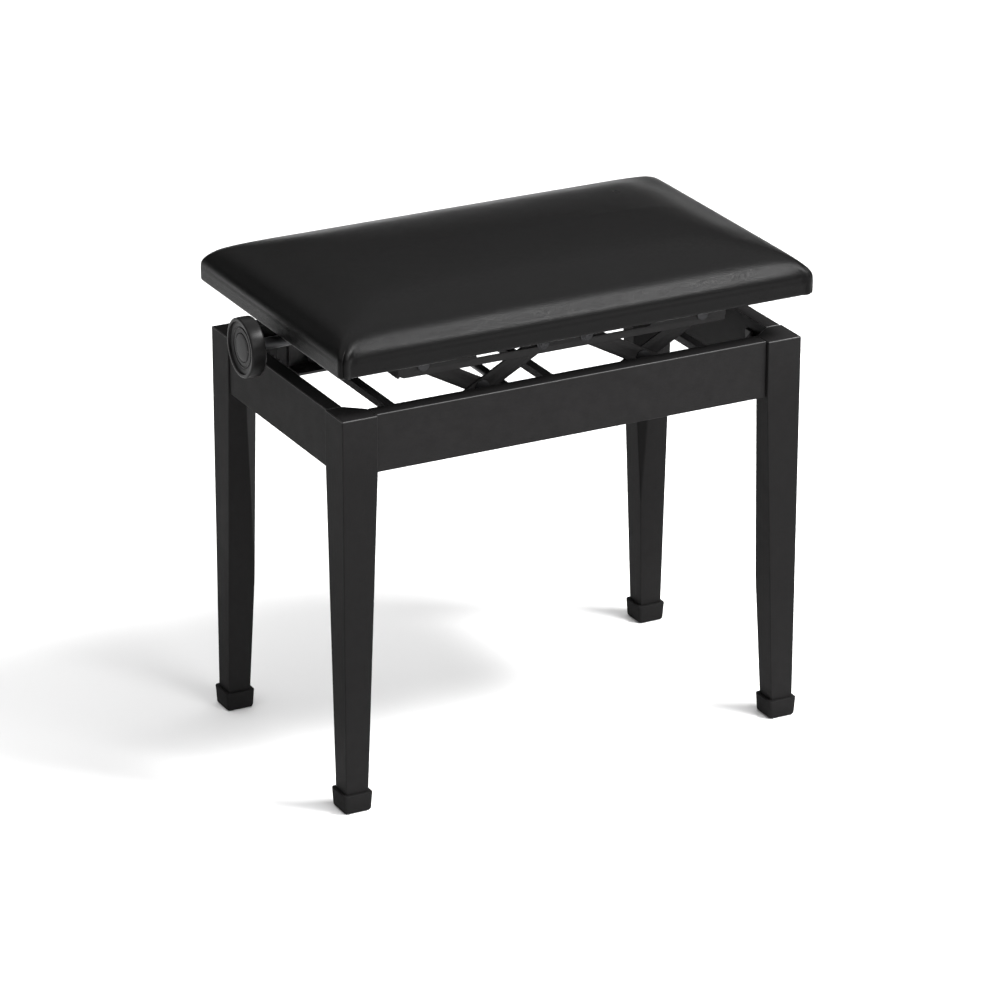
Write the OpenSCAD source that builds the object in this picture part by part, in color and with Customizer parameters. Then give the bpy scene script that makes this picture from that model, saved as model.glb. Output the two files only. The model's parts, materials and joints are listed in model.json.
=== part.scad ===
// Piano bench: a wooden frame, a scissor lift driven by a left- and right-hand screw, and a padded seat.
// X runs along the bench, Y from front to back, Z up. The origin is on the floor, midway between the legs.

/* [Frame] */
// Width over the legs
frame_w = 526; // [430:2:640]
// Depth over the legs
frame_d = 308; // [256:2:380]
// Height of the leg tops above the floor
frame_h = 428; // [356:2:514]
// Width of a leg at the aprons, along X
leg_w = 39; // [35:1:48]
// Depth of a leg at the aprons, along Y
leg_d = 40; // [35:1:48]
// Side of a leg at its foot
foot_side = 24.5; // [20:0.5:30]
// Radius of a leg's outer vertical edge
leg_edge_r = 1.5; // [0.5:0.5:4]
// Height of the aprons
apron_h = 62; // [58:1:80]
// Thickness of the front and rear aprons
long_apron_t = 19.5; // [15:0.5:22]
// Thickness of the side aprons
side_apron_t = 17.5; // [14:0.5:20]
// How far the front and rear aprons lie behind the leg faces
long_recess = 4; // [1:0.5:6]
// How far the side aprons lie behind the leg faces
side_recess = 1.5; // [0.5:0.5:4]

/* [Feet] */
// Height of a rubber foot cap
cap_h = 21; // [14:1:30]
// Wall of a foot cap
cap_wall = 2; // [1.5:0.5:4]
// Floor of a foot cap
cap_floor = 3; // [2:0.5:6]

/* [Fastenings] */
// Diameter of the dowels between legs and aprons
dowel_d = 8; // [6:1:10]
// Length of a dowel
dowel_len = 32; // [24:1:40]
// Reach of a corner bracket along each apron, without its tab
bracket_reach = 42; // [36:1:46]
// Length of a corner bracket's tab
bracket_tab = 12; // [8:1:16]
// Height of a corner bracket
bracket_h = 36; // [28:1:44]
// Diameter of the bolt in each leg
bolt_d = 8; // [6:1:10]

/* [Lift] */
// Distance of the lower pivots below the leg tops
pivot_drop = 39.7; // [34:0.1:44]
// Distance from a fixed pivot to the end of its rail
pivot_inset = 27; // [18:1:32]
// Distance of a sliding shaft from the middle, at rest
slide_x = 25; // [22:1:30]
// Angle of the arms above level, at rest
arm_angle = 28.5; // [25:0.5:34]
// Width of an arm
arm_w = 17.5; // [14:0.5:19]
// Thickness of an arm
arm_t = 3; // [2:0.5:4]
// Diameter of the fixed pivots
pivot_d = 8; // [6:1:10]
// Diameter of the sliding shafts between the arms
shaft_d = 9; // [7:1:11]
// Diameter of a shaft end in its slot
journal_d = 6; // [5:0.5:6.5]
// Thickness of the upper rails
upper_rail_t = 2; // [1.5:0.5:3]
// Thickness of the lower rails
lower_rail_t = 2.5; // [1.5:0.5:3]
// Depth of the rails' flanges
flange_w = 25; // [22:1:30]
// Width of a tie bar
tie_w = 10.5; // [8:0.5:14]
// Height of a tie bar
tie_h = 8; // [6:0.5:10]

/* [Screw and knob] */
// Diameter of the lead screw
screw_d = 12; // [10:1:14]
// Diameter of the knob
knob_d = 62; // [45:1:70]
// Thickness of the knob without its hub
knob_t = 16; // [12:1:22]
// Gap between the knob's hub and the seat or the legs, whichever stands out further
knob_gap = 8; // [4:1:16]

/* [Seat] */
// Width of the seat
seat_w = 540; // [430:2:660]
// Depth of the seat
seat_d = 330; // [276:2:400]
// Height of the cushion at its edge
seat_edge_h = 31; // [26:1:40]
// Rise of the cushion's crown above its edge
crown_h = 21; // [5:1:30]
// Radius of the seat's corners, seen from above
seat_corner_r = 18; // [6:1:30]
// Thickness of the plywood board
board_t = 15; // [12:1:18]
// Thickness of the vinyl cover
cover_t = 1.2; // [0.8:0.1:2]
// Thickness of the dust cover under the seat
dust_t = 0.8; // [0.5:0.1:1.2]

/* [Hidden] */
$fn = 48;

paint = "#2a292a";
rubber = "#232223";
steel = "#3a3a3c";
plated = "#77787a";
plastic = "#303033";
timber = "#b99b6b";
vinyl = "#242324";
foam = "#d8cfa8";
cloth = "#1b1b1c";

running_fit = 0.08; // radial clearance of a moving pin in its hole
fixed_fit = 0.05;   // radial clearance of a fixed pin in its hole
slot_fit = 0.2;     // radial clearance of a shaft end in a slot
side_gap = 0.3;     // gap between an arm and the head or shoulder beside it
layer_gap = 0.5;    // gap between neighbouring rails and arms
past = 1;           // how far a cut runs past the faces it opens

// frame
apron_z = frame_h - apron_h;
side_in = side_recess + side_apron_t;
long_in = long_recess + long_apron_t;
inner_x = frame_w / 2 - side_in;
inner_y = frame_d / 2 - long_in;
dowel_inset = 18;
dowel_low = apron_z + dowel_inset;
dowel_high = frame_h - dowel_inset;
dowel_in_leg = dowel_len * 0.44;
cap_fit = 0.15;
cap_lip = 0.6;
cap_lip_h = 3;
cap_corner_r = 3;
foot_at_cap = foot_side + (leg_w - foot_side) * (cap_h - cap_floor) / (apron_z - cap_floor);
cap_pocket = foot_at_cap + 2 * cap_fit;

// corner brackets and bolts
bracket_t = 2.5;
bolt_z = (dowel_low + dowel_high) / 2;
bolt_mid = bracket_reach / 2;
bolt_in_leg = 34;
bolt_out = 14;
nut_t = 6;
nut_af = bolt_d * 1.6;
washer_t = 1.5;

// bearing bushes
bush_r = screw_d / 2 + 3;
bush_flange_r = bush_r + 3;

// levels of the lift
lower_pivot_z = frame_h - pivot_drop;
rail_half = inner_x - bracket_reach - bracket_tab - 3;
pivot_x = rail_half - pivot_inset;
arm_run = pivot_x - slide_x;
arm_len = arm_run / cos(arm_angle);
upper_pivot_z = lower_pivot_z + arm_len * sin(arm_angle);
centre_x = (pivot_x + slide_x) / 2;
centre_z = (lower_pivot_z + upper_pivot_z) / 2;
lower_arm_room = 1.55; // gap between an arm's lower end and the lower rail's flange
upper_arm_room = 3.45; // gap between an arm's upper end and the upper rail's flange
lower_web_down = arm_w / 2 + lower_rail_t + lower_arm_room;
lower_web_up = 23;
upper_web_down = bush_r + 2;
upper_web_up = max(arm_w / 2 + upper_rail_t + upper_arm_room, bush_flange_r + 2.2);
upper_rail_half = rail_half + 1;
rail_corner_r = 8;
slot_in = slide_x - 4;
slot_out = slide_x + arm_run / 2 + 4.5;
slot_r = journal_d / 2 + slot_fit;
rail_screw_up = lower_web_up - 6;
rail_screw_x = [-pivot_x + 30, -centre_x + 20, centre_x - 20, pivot_x - 30];
board_screw_x = [-pivot_x + 25, -centre_x + 35, centre_x - 35, pivot_x - 25];

// places across the bench, as distances from its middle plane
upper_web_out = inner_y - lower_rail_t - 1;
upper_web_in = upper_web_out - upper_rail_t;
lower_web_in = inner_y - lower_rail_t;
outer_arm_out = upper_web_in - layer_gap;
outer_arm_in = outer_arm_out - arm_t;
inner_arm_out = outer_arm_in - layer_gap;
inner_arm_in = inner_arm_out - arm_t;
head_t = 1.6;
head_r = pivot_d / 2 + 2.5;
boss_r = pivot_d / 2 + 4;
board_screw_y = upper_web_in - 13;
clip_at = upper_web_out + side_gap + 1.1;
clip_t = 1;

// nuts, screw and bearings
trunnion_in = screw_d / 2 + 2;
trunnion_depth = 8;
nut_x = shaft_d + 11;
nut_y = 2 * (trunnion_in + trunnion_depth);
nut_z = screw_d + 10;
plate_t = 3;
plate_out = upper_rail_half;
bush_flange_t = 2;
collar_r = screw_d / 2 + 4;
collar_t = 6;
collar_gap = 0.4;
screw_tail = 6;

// knob
hub_t = 8;
hub_r = screw_d / 2 + 6;
knob_x = max(seat_w, frame_w) / 2 + knob_gap;
knob_rim = 3;
dish_depth = 1.6;
knob_round = 3;
knob_cap_r = 15;
knob_cap_t = 2.4;
knob_bore_depth = hub_t + knob_t - 6;

// seat
under_z = upper_pivot_z + upper_web_up + dust_t;
board_z = under_z + cover_t;
foam_z = board_z + board_t + 0.2;
inside = cover_t + 0.2;
wrap_w = 35;
dust_inset = 12;
staple_inset = 24;
staple_pitch = 44;
staple_w = 10;
staple_wire = 0.9;
staple_leg = 8;
screw_shank_d = 4;
screw_head_d = 8.5;
screw_head_t = 2.2;
crown_steps = 12;

// rounded rectangle centred on the origin, with true arcs
module rounded_plan(size, r) {
  square([size.x - 2 * r, size.y], center = true);
  square([size.x, size.y - 2 * r], center = true);
  for (sx = [-1, 1], sy = [-1, 1]) translate([sx * (size.x / 2 - r), sy * (size.y / 2 - r)]) circle(r);
}

// puts a child drawn for the front left corner, whose outer corner is the origin, at corner sx, sy
module at_corner(sx, sy) {
  mirror([sx > 0 ? 1 : 0, 0, 0]) mirror([0, sy > 0 ? 1 : 0, 0])
    translate([-frame_w / 2, -frame_d / 2, 0]) children();
}

module every_corner() {
  for (sx = [-1, 1], sy = [-1, 1]) at_corner(sx, sy) children();
}

// a cylinder along Y, from distance far to distance near in front of the middle plane
module front_pin(x, z, r, far, near) {
  translate([x, -far, z]) rotate([-90, 0, 0]) cylinder(r = r, h = far - near);
}

// puts a child drawn for the front on side sy
module at_side(sy) {
  mirror([0, sy > 0 ? 1 : 0, 0]) children();
}

// a slot through a rail's web, from slot_in to slot_out on side sx
module web_slot(sx, z) {
  deep = inner_y + past;
  near = upper_web_in - past;
  for (x = [slot_in, slot_out]) front_pin(sx * x, z, slot_r, deep, near);
  translate([sx > 0 ? slot_in : -slot_out, -deep, z - slot_r]) cube([slot_out - slot_in, deep - near, 2 * slot_r]);
}

// ---- frame ----

module leg_plan() {
  difference() {
    polygon([[0, 0], [leg_w, 0], [leg_w, long_in], [side_in, leg_d], [0, leg_d]]);
    square(leg_edge_r);
  }
  translate([leg_edge_r, leg_edge_r]) circle(leg_edge_r);
}

function taper(width) = [
  [0, cap_floor], [foot_side, cap_floor], [width, apron_z], [width, frame_h], [0, frame_h]
];

module dowels(r) {
  for (z = [dowel_low, dowel_high]) {
    translate([leg_w - dowel_in_leg, long_recess + long_apron_t / 2, z])
      rotate([0, 90, 0]) cylinder(r = r, h = dowel_len);
    translate([side_recess + side_apron_t / 2, leg_d - dowel_in_leg, z])
      rotate([-90, 0, 0]) cylinder(r = r, h = dowel_len);
  }
}

// along the corner's diagonal, with its zero on the bracket's inner face and + towards the middle of the bench
module on_diagonal() {
  translate([side_in + bolt_mid, long_in + bolt_mid, bolt_z])
    rotate([0, 0, 45]) translate([bracket_t, 0, 0]) rotate([0, 90, 0]) children();
}

module bolt(r) {
  on_diagonal() translate([0, 0, -bracket_t - bolt_in_leg]) cylinder(r = r, h = bolt_in_leg + bracket_t + bolt_out);
}

module leg(sx, sy) {
  color(paint) at_corner(sx, sy) difference() {
    intersection() {
      linear_extrude(frame_h) leg_plan();
      translate([0, leg_d, 0]) rotate([90, 0, 0]) linear_extrude(leg_d) polygon(taper(leg_w));
      rotate([90, 0, 90]) linear_extrude(leg_w) polygon(taper(leg_d));
    }
    dowels(dowel_d / 2 + fixed_fit);
    bolt(bolt_d / 2 + fixed_fit);
  }
}

module foot_cap(sx, sy) {
  outside = cap_pocket + 2 * cap_wall;
  color(rubber) at_corner(sx, sy) difference() {
    translate([foot_at_cap / 2, foot_at_cap / 2, 0]) {
      linear_extrude(cap_h) rounded_plan([outside, outside], cap_corner_r);
      translate([0, 0, cap_h - cap_lip_h]) linear_extrude(cap_lip_h)
        rounded_plan([outside + 2 * cap_lip, outside + 2 * cap_lip], cap_corner_r);
    }
    translate([-cap_fit, -cap_fit, cap_floor]) cube([cap_pocket, cap_pocket, cap_h]);
  }
}

module lower_screw(x, r, length) {
  front_pin(x, lower_pivot_z + rail_screw_up, r, lower_web_in + length, lower_web_in - past);
}

module long_apron(sy) {
  color(paint) difference() {
    at_side(sy) translate([-frame_w / 2 + leg_w, -inner_y - long_apron_t, apron_z])
      cube([frame_w - 2 * leg_w, long_apron_t, apron_h]);
    every_corner() dowels(dowel_d / 2 + fixed_fit);
    at_side(sy) for (x = rail_screw_x) lower_screw(x, screw_shank_d / 2 + fixed_fit, lower_rail_t + 14.5);
  }
}

module side_apron(sx) {
  color(paint) difference() {
    mirror([sx > 0 ? 1 : 0, 0, 0]) translate([-inner_x - side_apron_t, -frame_d / 2 + leg_d, apron_z])
      cube([side_apron_t, frame_d - 2 * leg_d, apron_h]);
    every_corner() dowels(dowel_d / 2 + fixed_fit);
  }
}

module apron_dowels() {
  color(timber) every_corner() dowels(dowel_d / 2);
}

module corner_bracket(sx, sy) {
  bend = bracket_t * tan(22.5);
  far_x = side_in + bracket_reach;
  far_y = long_in + bracket_reach;
  color(steel) at_corner(sx, sy) difference() {
    translate([0, 0, bolt_z - bracket_h / 2]) linear_extrude(bracket_h) polygon([
      [far_x + bracket_tab, long_in], [far_x, long_in], [side_in, far_y], [side_in, far_y + bracket_tab],
      [side_in + bracket_t, far_y + bracket_tab], [side_in + bracket_t, far_y + bend],
      [far_x + bend, long_in + bracket_t], [far_x + bracket_tab, long_in + bracket_t]
    ]);
    bolt(bolt_d / 2 + fixed_fit);
  }
}

module corner_bolts() {
  color(plated) every_corner() bolt(bolt_d / 2);
}

module corner_nuts() {
  color(plated) every_corner() on_diagonal() difference() {
    union() {
      cylinder(r = bolt_d, h = washer_t);
      translate([0, 0, washer_t]) cylinder(d = nut_af / cos(30), h = nut_t, $fn = 6);
    }
    translate([0, 0, -past]) cylinder(r = bolt_d / 2 + fixed_fit, h = washer_t + nut_t + 2 * past);
  }
}

// ---- lower half of the lift ----

module lower_rail(sy) {
  color(steel) at_side(sy) difference() {
    union() {
      translate([-rail_half, -inner_y, lower_pivot_z - lower_web_down])
        cube([2 * rail_half, lower_rail_t, lower_web_down + lower_web_up]);
      translate([-rail_half, -inner_y, lower_pivot_z - lower_web_down])
        cube([2 * rail_half, flange_w, lower_rail_t]);
    }
    for (sx = [-1, 1]) {
      web_slot(sx, lower_pivot_z);
      front_pin(sx * pivot_x, lower_pivot_z, pivot_d / 2 + fixed_fit, inner_y + past, lower_web_in - past);
    }
    for (x = rail_screw_x) lower_screw(x, screw_shank_d / 2 + fixed_fit, lower_rail_t + past);
  }
}

module tie_bar(x) {
  wall = 1.5;
  color(steel) translate([x - tie_w / 2, -lower_web_in, lower_pivot_z + lower_web_up - tie_h]) difference() {
    cube([tie_w, 2 * lower_web_in, tie_h]);
    translate([wall, -past, -past]) cube([tie_w - 2 * wall, 2 * (lower_web_in + past), tie_h - wall + past]);
  }
}

module lower_rail_screws() {
  color(plated) for (sy = [-1, 1], x = rail_screw_x) at_side(sy) {
    z = lower_pivot_z + rail_screw_up;
    front_pin(x, z, screw_shank_d / 2, lower_web_in + lower_rail_t + 14, lower_web_in);
    front_pin(x, z, screw_head_d / 2, lower_web_in, lower_web_in - screw_head_t);
  }
}

module lower_pivot_pins() {
  color(plated) for (sx = [-1, 1], sy = [-1, 1]) at_side(sy) {
    x = sx * pivot_x;
    front_pin(x, lower_pivot_z, pivot_d / 2, inner_y - 0.1, outer_arm_in - side_gap);
    front_pin(x, lower_pivot_z, head_r, lower_web_in, outer_arm_out + side_gap);
    front_pin(x, lower_pivot_z, head_r, outer_arm_in - side_gap, outer_arm_in - side_gap - head_t);
  }
}

// ---- arms, for the left pair; the right pair is mirrored ----

// flat bar with round ends from pivot a to pivot b, each [x, z], with its hole radii
module arm(a, b, far, r_a, r_b) {
  run = b - a;
  length = norm(run);
  color(steel) translate([a.x, -far, a.y]) rotate([0, -atan2(run.y, run.x), 0]) difference() {
    union() {
      translate([0, 0, -arm_w / 2]) cube([length, arm_t, arm_w]);
      for (x = [0, length]) translate([x, 0, 0]) rotate([-90, 0, 0]) cylinder(d = arm_w, h = arm_t);
    }
    for (hole = [[0, r_a], [length / 2, pivot_d / 2 + running_fit], [length, r_b]])
      translate([hole.x, -past, 0]) rotate([-90, 0, 0]) cylinder(r = hole.y, h = arm_t + 2 * past);
  }
}

module at_hand(sx) {
  mirror([sx > 0 ? 1 : 0, 0, 0]) children();
}

module outer_arm(sx, sy) {
  at_hand(sx) at_side(sy) arm(
    [-pivot_x, lower_pivot_z], [-slide_x, upper_pivot_z], outer_arm_out,
    pivot_d / 2 + running_fit, journal_d / 2 + fixed_fit);
}

module inner_arm(sx, sy) {
  at_hand(sx) at_side(sy) arm(
    [-pivot_x, upper_pivot_z], [-slide_x, lower_pivot_z], inner_arm_out,
    pivot_d / 2 + running_fit, journal_d / 2 + fixed_fit);
}

module centre_pins(sx) {
  color(plated) at_hand(sx) for (sy = [-1, 1]) at_side(sy) {
    front_pin(-centre_x, centre_z, boss_r, outer_arm_out + head_t, outer_arm_out);
    front_pin(-centre_x, centre_z, pivot_d / 2, outer_arm_out, inner_arm_in - side_gap);
    front_pin(-centre_x, centre_z, head_r, inner_arm_in - side_gap, inner_arm_in - side_gap - head_t);
  }
}

module upper_shafts(sx) {
  color(plated) at_hand(sx) for (sy = [-1, 1]) at_side(sy) difference() {
    union() {
      front_pin(-slide_x, upper_pivot_z, journal_d / 2, clip_at + clip_t + 0.8, outer_arm_in);
      front_pin(-slide_x, upper_pivot_z, shaft_d / 2, outer_arm_in, trunnion_in + side_gap);
    }
    difference() {
      front_pin(-slide_x, upper_pivot_z, journal_d, clip_at + clip_t, clip_at);
      front_pin(-slide_x, upper_pivot_z, journal_d / 2 - 0.8, clip_at + clip_t + past, clip_at - past);
    }
  }
}

module shaft_clips(sx) {
  color(plated) at_hand(sx) for (sy = [-1, 1]) at_side(sy) {
    difference() {
      front_pin(-slide_x, upper_pivot_z, head_r + 0.5, clip_at - 0.1, upper_web_out + side_gap);
      front_pin(-slide_x, upper_pivot_z, journal_d / 2 + fixed_fit, clip_at + past, upper_web_out - past);
    }
    difference() {
      front_pin(-slide_x, upper_pivot_z, journal_d / 2 + 2, clip_at + clip_t, clip_at);
      front_pin(-slide_x, upper_pivot_z, journal_d / 2 - 0.75, clip_at + clip_t + past, clip_at - past);
    }
  }
}

module lower_shaft(sx) {
  end = inner_y - 0.3;
  color(plated) at_hand(sx) {
    front_pin(-slide_x, lower_pivot_z, journal_d / 2, end, -end);
    front_pin(-slide_x, lower_pivot_z, shaft_d / 2, inner_arm_in, -inner_arm_in);
  }
}

module trunnion_nut(sx) {
  color(steel) at_hand(sx) difference() {
    translate([-slide_x, 0, upper_pivot_z]) cube([nut_x, nut_y, nut_z], center = true);
    translate([-slide_x - nut_x, 0, upper_pivot_z]) rotate([0, 90, 0])
      cylinder(r = screw_d / 2 + running_fit, h = 2 * nut_x);
    for (sy = [-1, 1]) at_side(sy)
      front_pin(-slide_x, upper_pivot_z, shaft_d / 2 + running_fit, nut_y / 2 + past, trunnion_in);
  }
}

// ---- screw and knob ----

// a cylinder along the screw's axis, from x0 to x1
module along_screw(x0, x1, r) {
  translate([x0, 0, upper_pivot_z]) rotate([0, 90, 0]) cylinder(r = r, h = x1 - x0);
}

module lead_screw() {
  color(plated) along_screw(-knob_x - knob_bore_depth + 0.5, plate_out + screw_tail, screw_d / 2);
}

module thrust_collars() {
  room = bush_flange_t + collar_gap;
  color(steel) for (x = [-plate_out - room - collar_t, -plate_out + plate_t + room]) difference() {
    along_screw(x, x + collar_t, collar_r);
    along_screw(x - past, x + collar_t + past, screw_d / 2 + fixed_fit);
  }
}

// turns a shape around Z into one around the screw, rising away from the bench on the left
module on_screw() {
  translate([-knob_x, 0, upper_pivot_z]) rotate([0, -90, 0]) children();
}

module knob() {
  face = hub_t + knob_t;
  r = knob_d / 2;
  dish_r = r - knob_rim;
  color(plastic) on_screw() difference() {
    rotate_extrude() {
      square([hub_r, hub_t + past]);
      translate([0, hub_t]) square([r - knob_round, knob_t]);
      translate([0, hub_t + knob_round]) square([r, knob_t - 2 * knob_round]);
      for (y = [hub_t, face - 2 * knob_round])
        intersection() {
          translate([r - knob_round, y + knob_round]) circle(knob_round);
          square([r, face]);
        }
    }
    translate([0, 0, face - dish_depth]) cylinder(r = dish_r, h = knob_round);
    translate([0, 0, face - dish_depth - knob_cap_t + 0.8])
      cylinder(r = knob_cap_r + fixed_fit, h = knob_cap_t + knob_round);
    translate([0, 0, -past]) cylinder(r = screw_d / 2 + fixed_fit, h = knob_bore_depth + past);
  }
}

module knob_cap() {
  color(plastic) on_screw() translate([0, 0, hub_t + knob_t - dish_depth - knob_cap_t + 0.8])
    cylinder(r = knob_cap_r, h = knob_cap_t);
}

// ---- upper half of the lift ----

module board_screw(r, low, high) {
  for (sx = board_screw_x, sy = [-1, 1]) translate([sx, sy * board_screw_y, low]) cylinder(r = r, h = high - low);
}

module upper_rail(sy) {
  top = upper_pivot_z + upper_web_up;
  low = upper_pivot_z - upper_web_down;
  color(steel) difference() {
    at_side(sy) {
      translate([-upper_rail_half, -upper_web_out, low + rail_corner_r])
        cube([2 * upper_rail_half, upper_rail_t, top - low - rail_corner_r]);
      translate([-upper_rail_half + rail_corner_r, -upper_web_out, low])
        cube([2 * (upper_rail_half - rail_corner_r), upper_rail_t, rail_corner_r + past]);
      for (sx = [-1, 1])
        front_pin(sx * (upper_rail_half - rail_corner_r), low + rail_corner_r, rail_corner_r,
          upper_web_out, upper_web_in);
      translate([-upper_rail_half, -upper_web_out, top - upper_rail_t])
        cube([2 * upper_rail_half, flange_w, upper_rail_t]);
    }
    at_side(sy) for (sx = [-1, 1]) {
      web_slot(sx, upper_pivot_z);
      front_pin(sx * pivot_x, upper_pivot_z, pivot_d / 2 + fixed_fit, inner_y, upper_web_in - past);
    }
    board_screw(screw_shank_d / 2 + fixed_fit, top - upper_rail_t - past, top + past);
  }
}

module end_plate(sx) {
  top = upper_pivot_z + upper_web_up;
  low = upper_pivot_z - upper_web_down;
  flange_in = upper_web_out - flange_w - layer_gap;
  color(steel) at_hand(sx) difference() {
    union() {
      translate([-plate_out, -upper_web_in, low])
        cube([plate_t, 2 * upper_web_in, top - low - upper_rail_t]);
      translate([-plate_out, -flange_in, low]) cube([plate_t, 2 * flange_in, top - low]);
      translate([-plate_out, -flange_in, top - upper_rail_t]) cube([16, 2 * flange_in, upper_rail_t]);
    }
    along_screw(-plate_out - past, -plate_out + plate_t + past, bush_r + fixed_fit);
  }
}

module bearing_bushes() {
  color("#8a7a4a") for (sx = [-1, 1]) at_hand(sx) difference() {
    union() {
      along_screw(-plate_out, -plate_out + plate_t, bush_r);
      along_screw(-plate_out - bush_flange_t, -plate_out, bush_flange_r);
      along_screw(-plate_out + plate_t, -plate_out + plate_t + bush_flange_t, bush_flange_r);
    }
    along_screw(-plate_out - 10, -plate_out + 20, screw_d / 2 + running_fit);
  }
}

module upper_pivot_pins() {
  color(plated) for (sx = [-1, 1], sy = [-1, 1]) at_side(sy) {
    x = sx * pivot_x;
    front_pin(x, upper_pivot_z, head_r, upper_web_out + head_t, upper_web_out);
    front_pin(x, upper_pivot_z, pivot_d / 2, upper_web_out, inner_arm_in - side_gap);
    front_pin(x, upper_pivot_z, head_r, upper_web_in, inner_arm_out + side_gap);
    front_pin(x, upper_pivot_z, head_r, inner_arm_in - side_gap, inner_arm_in - side_gap - head_t);
  }
}

module upper_rail_screws() {
  flange_z = upper_pivot_z + upper_web_up - upper_rail_t;
  color(plated) {
    board_screw(screw_shank_d / 2, flange_z, board_z + board_t - 3);
    board_screw(screw_head_d / 2, flange_z - screw_head_t, flange_z);
  }
}

// ---- seat ----

module seat_block(inset, low, high) {
  translate([0, 0, low]) linear_extrude(high - low)
    rounded_plan([seat_w - 2 * inset, seat_d - 2 * inset], seat_corner_r - inset);
}

// half outline of the crown over a span: edge height at the ends, full height in the middle
function crown(span, low, high) = concat(
  [[-span / 2, low], [span / 2, low]],
  [for (i = [0 : crown_steps]) let (u = 1 - 2 * i / crown_steps) [u * span / 2, high + crown_h * (1 - u * u)]]
);

// the cushion's outside, drawn in by inset, from low up to its crowned top
module cushion(inset, low) {
  edge = under_z + seat_edge_h - inset;
  intersection() {
    seat_block(inset, low, edge + crown_h + past);
    translate([0, seat_d / 2, 0]) rotate([90, 0, 0]) linear_extrude(seat_d) polygon(crown(seat_w, low, edge));
    translate([-seat_w / 2, 0, 0]) rotate([90, 0, 90]) linear_extrude(seat_w) polygon(crown(seat_d, low, edge));
  }
}

module seat_board() {
  color(timber) difference() {
    seat_block(inside, board_z, board_z + board_t);
    board_screw(screw_shank_d / 2 + fixed_fit, board_z - past, board_z + board_t - 3);
  }
}

module seat_foam() {
  color(foam) cushion(inside, foam_z);
}

module seat_cover() {
  color(vinyl) difference() {
    cushion(0, under_z);
    cushion(cover_t, board_z);
    translate([wrap_w - seat_w / 2, wrap_w - seat_d / 2, under_z - past])
      cube([seat_w - 2 * wrap_w, seat_d - 2 * wrap_w, cover_t + 2 * past]);
  }
}

module dust_cover() {
  color(cloth) difference() {
    seat_block(dust_inset, under_z - dust_t, under_z);
    board_screw(screw_shank_d / 2 + fixed_fit, under_z - dust_t - past, under_z + past);
  }
}

// one staple with its crown along X, centred on the origin, under the dust cover
module staple() {
  low = under_z - dust_t - staple_wire;
  translate([-staple_w / 2, -staple_wire / 2, low]) cube([staple_w, staple_wire, staple_wire]);
  for (x = [-staple_w / 2, staple_w / 2 - staple_wire])
    translate([x, -staple_wire / 2, low]) cube([staple_wire, staple_wire, staple_leg]);
}

module staple_row(length, away) {
  count = floor((length - 2 * staple_inset) / staple_pitch);
  for (i = [0 : count], s = [-1, 1]) translate([(i - count / 2) * staple_pitch, s * away, 0]) staple();
}

module cover_staples() {
  color(plated) {
    staple_row(seat_w - 40, seat_d / 2 - staple_inset);
    rotate([0, 0, 90]) staple_row(seat_d - 40, seat_w / 2 - staple_inset);
  }
}

leg(-1, -1);  // leg_front_left
leg(1, -1);  // leg_front_right
leg(-1, 1);  // leg_rear_left
leg(1, 1);  // leg_rear_right
foot_cap(-1, -1);  // foot_cap_front_left
foot_cap(1, -1);  // foot_cap_front_right
foot_cap(-1, 1);  // foot_cap_rear_left
foot_cap(1, 1);  // foot_cap_rear_right
long_apron(-1);  // front_apron
long_apron(1);  // rear_apron
side_apron(-1);  // left_apron
side_apron(1);  // right_apron
apron_dowels();
corner_bracket(-1, -1);  // corner_bracket_front_left
corner_bracket(1, -1);  // corner_bracket_front_right
corner_bracket(-1, 1);  // corner_bracket_rear_left
corner_bracket(1, 1);  // corner_bracket_rear_right
corner_bolts();
corner_nuts();
lower_rail(-1);  // lower_rail_front
lower_rail(1);  // lower_rail_rear
tie_bar(-rail_half + 7);  // tie_bar_left
tie_bar(0);  // tie_bar_middle
tie_bar(rail_half - 7);  // tie_bar_right
lower_rail_screws();
lower_pivot_pins();
outer_arm(-1, -1);  // left_outer_arm_front
outer_arm(-1, 1);  // left_outer_arm_rear
centre_pins(-1);  // left_centre_pins
upper_shafts(-1);  // left_upper_shafts
shaft_clips(-1);  // left_shaft_clips
inner_arm(-1, -1);  // left_inner_arm_front
inner_arm(-1, 1);  // left_inner_arm_rear
lower_shaft(-1);  // left_lower_shaft
trunnion_nut(-1);  // left_nut
outer_arm(1, -1);  // right_outer_arm_front
outer_arm(1, 1);  // right_outer_arm_rear
centre_pins(1);  // right_centre_pins
upper_shafts(1);  // right_upper_shafts
shaft_clips(1);  // right_shaft_clips
inner_arm(1, -1);  // right_inner_arm_front
inner_arm(1, 1);  // right_inner_arm_rear
lower_shaft(1);  // right_lower_shaft
trunnion_nut(1);  // right_nut
lead_screw();
thrust_collars();
knob();
knob_cap();
upper_rail(-1);  // upper_rail_front
upper_rail(1);  // upper_rail_rear
end_plate(-1);  // end_plate_left
end_plate(1);  // end_plate_right
bearing_bushes();
upper_pivot_pins();
upper_rail_screws();
seat_board();
seat_foam();
seat_cover();
dust_cover();
cover_staples();
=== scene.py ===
import json
import math

import bmesh
import bpy
import numpy as np
from mathutils import Matrix, Vector
from mathutils.bvhtree import BVHTree
from mathutils.kdtree import KDTree


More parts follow.
